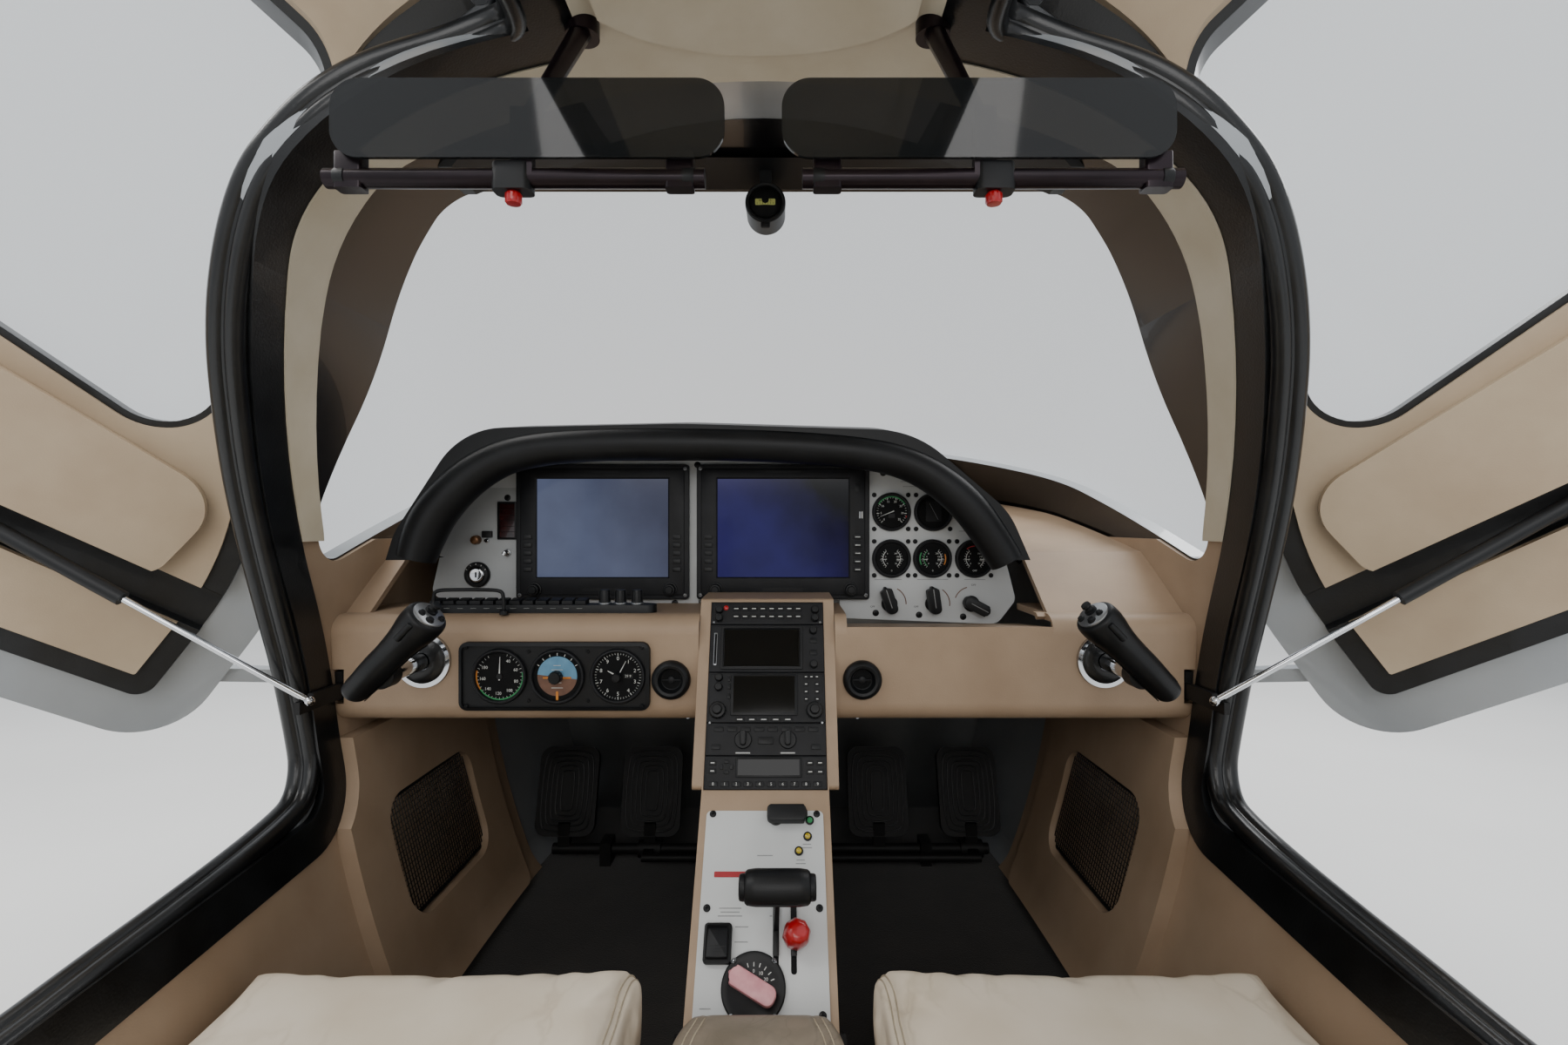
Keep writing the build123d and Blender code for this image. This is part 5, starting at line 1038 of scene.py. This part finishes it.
runModifier(facet, "BEVEL", width=1.1 * mm, segments=2)
applyPlace(facet, aimFrame((40, -347, 317), (44, -366, 336)))
slotCover = addBlock((7, 50, 3), (35, -135, plateTop + 1.5), 1.5, 0.4, blackAbs)
applyPlace(slotCover, slopeFrame)
keep([addArm("mixture"), facet, slotCover], "mixtureLever", "airframe", smooth=25,
     replaces=("mixture_lever",))
print("console ready")

# Hood: a thick leather roll round the lip, wider down the sides, and a black strip behind the panel's top
# that paints the shade under the hood
hoodModel = {
    "depth": -111, "roll": (  # x, height, radius
        (-507, 728, 27), (-497, 762, 31), (-470, 808, 30), (-420, 856, 28), (-355, 886, 25.5),
        (-222, 896, 24.5), (-9.5, 894, 24.5), (140, 884, 24.5), (215, 866, 25), (273, 829, 26.5),
        (316, 783, 27), (352, 724, 25)),
}
rollPoints = [(x, hoodModel["depth"], z) for x, z, radius in hoodModel["roll"]]
rollWidths = [radius / 25 for x, z, radius in hoodModel["roll"]]
hoodRoll = addTube(rollPoints, 25, material=blackHide, steps=10, round=10, widths=rollWidths)
# painted shade: a matt black strip behind the panel's top edge, in the gap under the hood
paintedShadeSheet = addStrip((600, 47, 3), (-100, 891.5, -5.2), mattBlackAndShade)
applyPlace(paintedShadeSheet, panelFrame)
keep([hoodRoll], "hoodRoll", "airframe")
keep([paintedShadeSheet], "hoodPaintedShade", "airframe")

# Door seals: an inner and an outer rubber bulb round each doorway, following the opening in the photo
sealModel = {
    "bulb": 10.5, "lip": 12.5, "wallLean": ((300, 1.0), (800, 1.0), (900, 0.98), (1000, 0.96),
                                            (1100, 0.855), (1200, 0.635), (1300, 0.39)),
    "path": (
        (-265, -392, 1285), (-312, -396, 1262), (-353, -411, 1238), (-385, -423, 1216), (-425, -430, 1185),
        (-458, -426, 1156), (-488, -423, 1122), (-517, -408, 1077), (-539, -392, 1023), (-556, -373, 975),
        (-569, -353, 929), (-589, -312, 840), (-600, -274, 758), (-605, -228, 642), (-604, -212, 593),
        (-596, -196, 490), (-591, -196, 453), (-586, -216, 416), (-584, -254, 404), (-582, -330, 392),
        (-580, -424, 382), (-578, -498, 376), (-577, -572, 367), (-575, -700, 359), (-572, -850, 349),
        (-568, -980, 341), (-567, -1035, 343), (-574, -1062, 380), (-584, -1084, 450), (-597, -1101, 600),
        (-597, -1110, 700), (-589, -1119, 800), (-570, -1130, 900), (-541, -1141, 1000), (-496, -1148, 1100),
        (-398, -1157, 1200), (-320, -1165, 1257), (-262, -1150, 1283), (-240, -1110, 1290),
        (-237, -1000, 1288), (-237, -800, 1288), (-237, -600, 1288), (-237, -460, 1288), (-240, -405, 1286)),
}


def wallShare(z):  # how much of the wall's outward direction is sideways at this height
    table = sealModel["wallLean"]
    for (lowZ, low), (highZ, high) in zip(table, table[1:]):
        if z <= highZ:
            return low + (high - low) * max(0.0, z - lowZ) / (highZ - lowZ)
    return table[-1][1]


def outward(point, distance):
    share = wallShare(point[2])
    return (point[0] - distance * share, point[1], point[2] + distance * math.sqrt(1 - share * share))


innerBulb = addTube([outward(point, 9) for point in sealModel["path"]], sealModel["bulb"], True, sealRubber,
                    round=6)
outerBulb = addTube([outward(point, 26) for point in sealModel["path"]], sealModel["lip"], True, sealRubber,
                    round=6)
web = addTube([outward(point, 17.5) for point in sealModel["path"]], sealModel["bulb"] - 1.5, True,
              sealRubber, round=6)
doorwaySeal = keep([innerBulb, outerBulb, web], "doorwaySealLeft", "airframe")
mirrorCopy(doorwaySeal, "doorwaySealRight", "airframe")
print("hood and seals ready")

# Black rubber over the inner step of each door, taken from the shell's own faces beyond the outer skin
doorModel = {"low": (-540, -128, 760), "high": (-250, -383, 1300), "angle": 65.8, "skin": 12.5,
             "halfWidth": ((75, 526), (200, 574), (385, 620), (500, 637), (655, 645), (800, 635), (900, 617),
                           (1000, 589), (1100, 550), (1200, 469), (1300, 325), (1400, 200))}
hingeStart = Vector(doorModel["low"]) * mm
hingeAlong = (Vector(doorModel["high"]) - Vector(doorModel["low"])).normalized()
closing = (Matrix.Translation(hingeStart) @ Matrix.Rotation(math.radians(doorModel["angle"]), 4, hingeAlong)
           @ Matrix.Translation(-hingeStart))


def depthInWall(center):  # distance of a door point from the cabin's outside, with the door closed
    spot = closing @ center
    height = spot.z / mm
    table = doorModel["halfWidth"]
    for (lowZ, low), (highZ, high) in zip(table, table[1:]):
        if height <= highZ:
            wide = low + (high - low) * max(0.0, height - lowZ) / (highZ - lowZ)
            return (wide - abs(spot.x / mm)) * wallShare(height)
    return 0.0


def facesOf(nodeName, keepFace, lift, material):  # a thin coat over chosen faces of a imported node
    coat = freeCopy(nodeName)
    openFaces(coat, lambda center, normal: not keepFace(center, normal))
    bpy.ops.mesh.delete(type="FACE")
    bpy.ops.mesh.select_all(action="SELECT")
    bpy.ops.transform.shrink_fatten(value=lift * mm)
    closeMesh()
    return paint(coat, material)


doorRubber = facesOf("door_shell_left", lambda center, normal: depthInWall(center) > doorModel["skin"], 0.4,
                     sealRubber)
keep([doorRubber], "doorRubberLeft", "door_left", smooth=0)
mirrorCopy(doorRubber, "doorRubberRight", "door_right")

# Windscreen surround: fired black edge on the inside of the pillars
pillarModel = {"inward": 0.15, "down": 0.3, "rear": -360, "low": 690}
for side, sign in (("Left", 1), ("Right", -1)):
    node = "hull_left" if sign > 0 else "hull_right"

    def onPillar(center, normal):
        inside = normal.x * sign > pillarModel["inward"] or normal.z < -pillarModel["down"]
        return inside and center.y > pillarModel["rear"] * mm and center.z > pillarModel["low"] * mm

    keep([facesOf(node, onPillar, 0.5, blackBand)], "pillarBand" + side, "airframe", smooth=0)
print("door rubber and windscreen surround ready")

# Sun visors: clamps and red knobs on the rods, cups where the arms meet the roof
visorModel = {"rod": (-220, -480.7, 1098), "clamps": (-372, -68), "knob": (-222, -480.7, 1074)}
rodX, rodY, rodZ = visorModel["rod"]
visorParts = []
for x in visorModel["clamps"]:
    visorParts.append(addBlock((26, 15, 34), (x, rodY, rodZ + 6), 3, 1.5, plumAnodised))
    visorParts.append(addTurned([(5, -11), (5, -9.6), (0, -9)], (x, rodY, rodZ), 24, grilleGrey))
visorParts.append(addBlock((36, 20, 26), (rodX - 2, rodY, rodZ), 6, 2, blackAbs))
for x in (-384, -56):
    cap = addTurned([(9.8, 0), (9.8, 9), (8.4, 11), (0, 11.4)], around=32, material=blackAbs)
    visorParts.append(applyPlace(cap, aimFrame((x + (9 if x < -200 else -9), rodY, rodZ), (x, rodY, rodZ))))
visorFittings = keep(visorParts, "visorFittingsLeft", "airframe")
mirrorCopy(visorFittings, "visorFittingsRight", "airframe")
redKnob = addKnob([(0, 0), (6.5, 0.4), (7.4, 2), (7.4, 9), (6.2, 11), (4, 12), (4, 16)], 12, (0, 0, 0),
                  redPlastic, 0.3)
redKnob = keep([redKnob], "visorKnobLeft", "airframe",
               Matrix.Translation(Vector(visorModel["knob"]) * mm))
mirrorCopy(redKnob, "visorKnobRight", "airframe")

# Compass: black ball in a ring with a pale number card behind the window
compassFrame = viewFrame(0, -75, 1262)
compassParts = [addTurned([(30.5, -10), (30.5, 1), (28.5, 3.4), (25.5, 3), (23.5, 0.6)], around=48,
                          material=blackAbs)]
compassParts.append(addTurned([(23.8, 0), (22, 4), (16, 8), (8, 10), (0, 10.6)], around=40,
                              material=mattBlackAndShade))
card = addBlock((30, 9, 1.2), (0, -3, 9.6), 1.5, 0.3, limeCard)
compassParts += [card] + [addStrip((0.5, 3, 0.2), (x, -5.2, 10.3), mattBlackAndShade)
                          for x in (-12, -8, -4, 0, 4, 8, 12)]
compassParts += [addText(word, 3.2, (x, -1.4, 10.3), material=mattBlackAndShade)
                 for word, x in (("30", -8), ("33", 0), ("3", 8))]
compassParts.append(addBlock((14, 8, 3), (0, -33, -2), 1.5, 0.6, blackAbs))
keep(compassParts, "compassFace", "airframe", compassFrame)
print("visors and compass ready")

# Control stick grips: moulded and stitched, silver plate with a hat switch and buttons on top
gripLean = math.radians(46)
gripAlong = Vector((math.sin(gripLean), -0.12, math.cos(gripLean))).normalized()
gripModel = {"centre": (-466, -265, 608), "length": 118, "rings": (
    (0, 13, 11), (1, 17.5, 14.5), (4, 19.5, 16), (22, 20.5, 17), (45, 23.5, 18.6), (62, 22.6, 18.2),
    (84, 22, 19), (104, 24, 21.5), (116, 26.5, 24), (123, 28.4, 25.5), (138, 28.6, 25.6), (143, 27, 24),
    (145, 23, 20))}
gripSide = Vector((0, 1, 0))
gripSide = (gripSide - gripAlong * gripSide.dot(gripAlong)).normalized()
gripUp = gripAlong.cross(gripSide)
gripFoot = (Vector(gripModel["centre"]) - gripAlong * gripModel["length"] / 2) * mm
gripFrame = Matrix.Translation(gripFoot) @ Matrix((gripSide, gripUp, gripAlong)).transposed().to_4x4()
grip = addLoft([(z, wide, deep, 0, 0) for z, wide, deep in gripModel["rings"]], 40, blackHide)
runModifier(grip, "SUBSURF", levels=1)
gripParts = [grip, addTurned([(0, 144), (22.5, 144), (22.5, 146), (21, 147), (0, 147.2)], around=48,
                             material=aluminium, squash=0.86)]
gripParts.append(addTurned([(7.6, 146), (7.4, 150), (5, 151), (4.4, 154), (6.2, 156), (5.6, 159),
                            (0, 159.4)], (5, 3, 0), 32, blackAbs))
for x, y, radius in ((-11, -8, 4.2), (-12, 5, 3.4), (8, -12, 3.4)):
    gripParts.append(addTurned([(radius + 1, 146.6), (radius + 1, 148), (radius, 148.4),
                                (radius * 0.9, 150.6), (0, 151)], (x, y, 0), 24, blackAbs))
gripParts.append(addBlock((10, 8, 26), (-27, 0, 124), 3.5, 1.5, blackAbs))
for sign in (-1, 1):
    line = [(0, sign * 16.8, 4), (0, sign * 17.6, 22), (0, sign * 19.2, 45), (0, sign * 18.8, 62),
            (0, sign * 19.6, 84), (0, sign * 22, 104), (0, sign * 24.6, 116)]
    gripParts.append(addTube(line, 0.7, material=mattBlackAndShade))
gripPiece = joinAll(gripParts)
applyPlace(gripPiece, gripFrame)
hub = addTurned([(13, 0), (16, 1.5), (16, 22.5), (14, 24), (0, 24)], around=40, material=blackAbs)
applyPlace(hub, viewFrame(-474, -235.3, 588))
stickGrip = keep([gripPiece, hub], "stickGripLeft", "yoke_grip_left",
                 replaces=("yoke_grip_left",))
mirrorCopy(stickGrip, "stickGripRight", "yoke_grip_right", ("yoke_grip_right",))
boot = addTurned([(31.5, 0), (31.5, 1.4), (29, 3.4), (22, 5.6), (15.5, 6.4), (13, 6.2), (12.8, 0)],
                 around=56, material=sealRubber)
boot = keep([boot], "shaftBootLeft", "airframe", viewFrame(-474, -158, 588))
mirrorCopy(boot, "shaftBootRight", "airframe")

# Rudder pedals: concentric tread loops on each pad
pedalModel = {"left": (-428, 225), "right": (-250, 416), "foot": (329, 126), "lean": 18, "size": (124, 178),
              "corners": ((-1, -0.8), (-1, 0.8), (-0.7, 1), (0.7, 1), (1, 0.8), (1, -0.8), (0.7, -1),
                          (-0.7, -1))}
for side in ("left", "right"):
    treads = []
    for x in pedalModel[side]:
        footY, footZ = pedalModel["foot"]
        padFrame = viewFrame(x, footY, footZ, 90 - pedalModel["lean"])
        for i in range(5):
            wide, tall = pedalModel["size"][0] / 2 - 9 - 10 * i, pedalModel["size"][1] / 2 - 9 - 10 * i
            loop = [(sx * wide, 89 + sy * tall, 14.4) for sx, sy in pedalModel["corners"]]
            treads.append(applyPlace(addTube(loop, 1.9, True, sealRubber), padFrame))
    keep(treads, "pedalTreads" + side.title(), "pedals_" + side)

# Net pockets on the footwell sides
netModel = {"low": (-521, 196), "high": (-565, 366), "rear": -98, "front": 143, "cells": (34, 22)}
(lowX, lowZ), (highX, highZ) = netModel["low"], netModel["high"]
clearSelection()
bpy.ops.mesh.primitive_grid_add(x_subdivisions=netModel["cells"][0], y_subdivisions=netModel["cells"][1],
                                size=1)
net = bpy.context.object
tall = math.hypot(highX - lowX, highZ - lowZ)
net.scale = ((netModel["front"] - netModel["rear"]) * mm, tall * mm, 1)
netAlong = Vector((highX - lowX, 0, highZ - lowZ)).normalized()
netTurn = Matrix((Vector((0, 1, 0)), netAlong, Vector((0, 1, 0)).cross(netAlong))).transposed().to_4x4()
netMiddle = Vector(((lowX + highX) / 2 + 4, (netModel["front"] + netModel["rear"]) / 2, (lowZ + highZ) / 2))
applyPlace(net)
applyPlace(net, Matrix.Translation(netMiddle * mm) @ netTurn)
runModifier(net, "WIREFRAME", thickness=2.0 * mm, use_even_offset=False)
paint(net, sealRubber)
hem = addTube([(highX + 4, y, highZ + 1) for y in (netModel["rear"], 20, netModel["front"])], 4.0,
              material=blackHide)
rim = addTube([(lowX + 2, netModel["front"], lowZ), (lowX + 2, 20, lowZ - 2),
               (lowX + 2, netModel["rear"], lowZ)], 3.0, material=blackHide)
netPocket = keep([net, hem, rim], "netPocketLeft", "airframe")
mirrorCopy(netPocket, "netPocketRight", "airframe")
print("grips, pedals and pockets ready")

# Cushions, seat backs and the armrest lid: foam swelled inside its hide by a short cloth run, then sewn
softModel = {
    "cushion": {"shrink": 7, "cell": 6, "cap": 12, "inner": (-131, -122.5), "outer": -548,
                "front": -358, "rear": -823, "low": 204, "top": 309},
    "back": {"shrink": 7, "cell": 6, "cap": 12, "pivot": (-331, -850, 250), "lean": 28,
             "start": 92, "length": 620, "half": 196, "thick": 42.5},
    "lid": {"shrink": 3, "cell": 4, "cap": 6, "middle": 4, "thick": 34, "round": 62, "front": -425,
            "rear": -900,
            "seams": (66, 74), "top": 300},
}


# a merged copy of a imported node, or of its part past a plane
def foamFrom(nodeName, cut=None, keepAbove=True):
    foam = freeCopy(nodeName)
    openMesh(foam, "point")
    bpy.ops.mesh.remove_doubles(threshold=0.05 * mm)
    bpy.ops.mesh.normals_make_consistent(inside=False)
    if cut:
        bpy.ops.mesh.bisect(plane_co=cut[0] * mm, plane_no=cut[1], use_fill=True, clear_inner=keepAbove,
                            clear_outer=not keepAbove)
    closeMesh()
    return foam


def coordsOf(piece):
    return [vertex.co.copy() for vertex in piece.data.vertices]


def putCoords(piece, points):
    piece.data.vertices.foreach_set("co", [value for point in points for value in point])
    piece.data.update()


def evenMesh(foam, shrink, cell):
    openFaces(foam, lambda center, normal: True)
    bpy.ops.transform.shrink_fatten(value=-shrink * mm, use_even_offset=True)
    closeMesh()
    runModifier(foam, "REMESH", mode="VOXEL", voxel_size=cell * mm)


# no point moves further than the cap, none sinks below its seat
def swell(foam, cap, rests=None, pressure=4.0):
    pick(foam)
    before = coordsOf(foam)
    cloth = foam.modifiers.new("cloth", "CLOTH")
    cloth.settings.use_pressure = True
    cloth.settings.uniform_pressure_force = pressure
    cloth.settings.effector_weights.gravity = 0
    for step in range(1, 21):
        bpy.context.scene.frame_set(step)
    bpy.ops.object.modifier_apply(modifier="cloth")
    bpy.context.scene.frame_set(1)
    points = coordsOf(foam)
    for number, (point, start) in enumerate(zip(points, before)):
        move = point - start
        if move.length > cap * mm:
            points[number] = start + move.normalized() * cap * mm
        if rests is not None:
            points[number].z = max(points[number].z, rests * mm)
    putCoords(foam, points)
    runModifier(foam, "SUBSURF", levels=1)


def onSurface(foam, points, lift=0.0):
    placed = []
    for point in points:
        found, spot, facing, index = foam.closest_point_on_mesh(Vector(point) * mm)
        placed.append((spot + facing * lift * mm) / mm)
    return placed


def walkAlong(points, gap=3.0):
    walk = []
    for start, end in zip(points, points[1:]):
        start, end = Vector(start), Vector(end)
        count = max(1, round((end - start).length / gap))
        walk += [start.lerp(end, i / count) for i in range(count)]
    return walk + [Vector(points[-1])]


def evenLine(foam, points):  # laid on the hide, then drawn straight
    line = onSurface(foam, walkAlong(points, 6.0))
    for turn in range(8):
        line = [line[0], *((a + b * 2 + c) / 4 for a, b, c in zip(line, line[1:], line[2:])), line[-1]]
    return onSurface(foam, line)


def sewSeam(foam, points, depth=2.4, width=4.5, radius=0.9):  # the hide pulled in along a line
    line = evenLine(foam, points)
    tree = kdtree.KDTree(len(line))
    for index, point in enumerate(line):
        tree.insert(point, index)
    tree.balance()
    skin, normals = coordsOf(foam), [vertex.normal.copy() for vertex in foam.data.vertices]
    for number, (point, facing) in enumerate(zip(skin, normals)):
        spot, index, gap = tree.find(point / mm)
        if gap < 3 * width:
            skin[number] = point - facing * depth * mm * math.exp(-(gap / width) ** 2)
    putCoords(foam, skin)
    places = onSurface(foam, line[::2] + [line[-1]], 0.2)
    return addTube(places, radius, material=seamThread, steps=3, round=2)


def keepPair(parts, name, body, node):  # a padded hide piece for the left seat, and its mirror image
    left = keep(parts, name + "Left", body + "left", smooth=60, replaces=(node + "left",))
    right = mirrorCopy(left, name + "Right", body + "right", (node + "right",))


cushionModel = softModel["cushion"]
cushionFoam = foamFrom("seat_cushion_left")
evenMesh(cushionFoam, cushionModel["shrink"], cushionModel["cell"])
swell(cushionFoam, cushionModel["cap"], cushionModel["low"] + 1)
paint(cushionFoam, seatHide)
front, rear, low, top = (cushionModel[key] for key in ("front", "rear", "low", "top"))
cushionSeams = []
for x in cushionModel["inner"]:
    path = [(x, front, low + 20), (x, front, top - 40), (x, front - 8, top - 6), (x, front - 26, top),
            (x, rear + 26, top), (x, rear + 8, top - 6), (x, rear, top - 40), (x, rear, low + 20)]
    cushionSeams.append(sewSeam(cushionFoam, path))
x = cushionModel["outer"]
cushionSeams.append(sewSeam(cushionFoam, [(x, front - 14, top - 34), (x, rear + 14, top - 34)]))
keepPair([cushionFoam, *cushionSeams], "seatCushion", "seat_", "seat_cushion_")
print("cushions ready")

backModel = softModel["back"]
pivot = Vector(backModel["pivot"])
leanBack = math.radians(backModel["lean"])
alongBack = Vector((0, -math.sin(leanBack), math.cos(leanBack)))
facingBack = Vector((0, math.cos(leanBack), math.sin(leanBack)))
startPlane = (pivot + alongBack * (backModel["start"] + 0.3), alongBack)
backFoam = foamFrom("seat_back_left", startPlane)
evenMesh(backFoam, backModel["shrink"], backModel["cell"])
swell(backFoam, backModel["cap"])
paint(backFoam, seatHide)
backArms = paint(foamFrom("seat_back_left", startPlane, False), crinkleBlack)


def onBack(x, up, out):
    return tuple(pivot + Vector((x, 0, 0)) + alongBack * up + facingBack * out)


backSeams = []
half, thick = backModel["half"], backModel["thick"]
first, last = backModel["start"] + 22, backModel["length"] - 22
for inset in (0, 8.5):
    wide = half - inset
    loop = [(-wide, first + inset), (-wide, last - inset - 24), (-wide + 24, last - inset),
            (wide - 24, last - inset), (wide, last - inset - 24), (wide, first + inset),
            (-wide, first + inset)]
    backSeams.append(sewSeam(backFoam, [onBack(x, up, thick) for x, up in loop]))
for up in (235, 365):
    backSeams.append(sewSeam(backFoam, [onBack(-half + 12, up, thick), onBack(half - 12, up, thick)], 3.4,
                             6.0))
keepPair([backFoam, backArms, *backSeams], "seatBack", "seat_back_", "seat_back_")

lidModel = softModel["lid"]
lidPlane = (Vector((0, 0, lidModel["top"] - lidModel["thick"] + 0.3)), Vector((0, 0, 1)))
lidFoam = foamFrom("armrest_lid", lidPlane)
lidFoot = paint(foamFrom("armrest_lid", lidPlane, False), crinkleBlack)
evenMesh(lidFoam, lidModel["shrink"], lidModel["cell"])
lidPoints = coordsOf(lidFoam)
for point in lidPoints:  # the front corners are rounded in plan, and the front edge rolls over
    ahead = max(0.0, (point.y / mm - (lidModel["front"] - lidModel["round"])) / lidModel["round"])
    point.x -= (point.x - lidModel["middle"] * mm) * 0.26 * ahead ** 2
    high = max(0.0, point.z / mm - lidModel["top"] + 16) / 16
    point.z -= 9 * mm * ahead ** 3 * high
putCoords(lidFoam, lidPoints)
swell(lidFoam, lidModel["cap"], lidModel["top"] - 33)
paint(lidFoam, armHide)
lidSeams = []
for side in (-1, 1):
    for out in lidModel["seams"]:
        x = lidModel["middle"] + side * out
        near = x - side * 14
        front, rear, top = lidModel["front"], lidModel["rear"], lidModel["top"]
        path = [(near, front - 6, top - 16), (near, front - 14, top - 2), (near + side * 8, front - 36, top),
                (x, front - 70, top), (x, rear + 16, top)]
        lidSeams.append(sewSeam(lidFoam, path, 1.6, 3.2, 0.8))
armLid = keep([lidFoam, lidFoot, *lidSeams], "armrestLid", "armrest_lid", smooth=60,
              replaces=("armrest_lid",))
print("seat backs and armrest lid ready")

# Floor, light and the view from between the seats
studio = {"floorHalf": 6000, "cameraPlace": (28, -1125, 780), "lens": 16.0, "sensor": 36.0}
clearSelection()
bpy.ops.mesh.primitive_plane_add(size=2 * studio["floorHalf"] * mm, location=(0, 0, cadBounds[0][2]))
studioFloor = bpy.context.object
studioFloor.name = "studioFloor"
applyPlace(studioFloor)
floorPaint = simpleFinish("paleFloorPaint", "#D8D8D6", 0.8, 900, "#D5D5D3", "#DBDBD9", 6.0, 0.05, "fine")
paint(studioFloor, floorPaint)
sky = bpy.data.worlds.new("softStudio")
sky.use_nodes = True
sky.node_tree.nodes["Background"].inputs["Color"].default_value = (0.93, 0.96, 1.0, 1)
sky.node_tree.nodes["Background"].inputs["Strength"].default_value = 1.0
bpy.context.scene.world = sky
softLights = [  # place, size, watts, warmth
    ((-1800, -600, 3600), 2600, 130, (1.0, 0.98, 0.95)),
    ((2200, 900, 3200), 2200, 90, (1.0, 1.0, 1.0)),
    ((0, -3600, 2200), 2400, 60, (1.0, 0.98, 0.96)),
]
for place, width, power, warmth in softLights:
    clearSelection()
    bpy.ops.object.light_add(type="AREA", location=Vector(place) * mm)
    lamp = bpy.context.object
    lamp.data.size = width * mm
    lamp.data.energy = power
    lamp.data.color = warmth
    aim = Vector((0, -400, 700)) - Vector(place)
    lamp.rotation_euler = aim.to_track_quat("-Z", "Y").to_euler()
clearSelection()
bpy.ops.object.camera_add(location=Vector(studio["cameraPlace"]) * mm, rotation=(math.radians(90), 0, 0))
viewCamera = bpy.context.object
viewCamera.data.lens = studio["lens"]
viewCamera.data.sensor_width = studio["sensor"]
viewCamera.data.clip_start = 0.01
bpy.context.scene.camera = viewCamera
print("studio and camera ready")
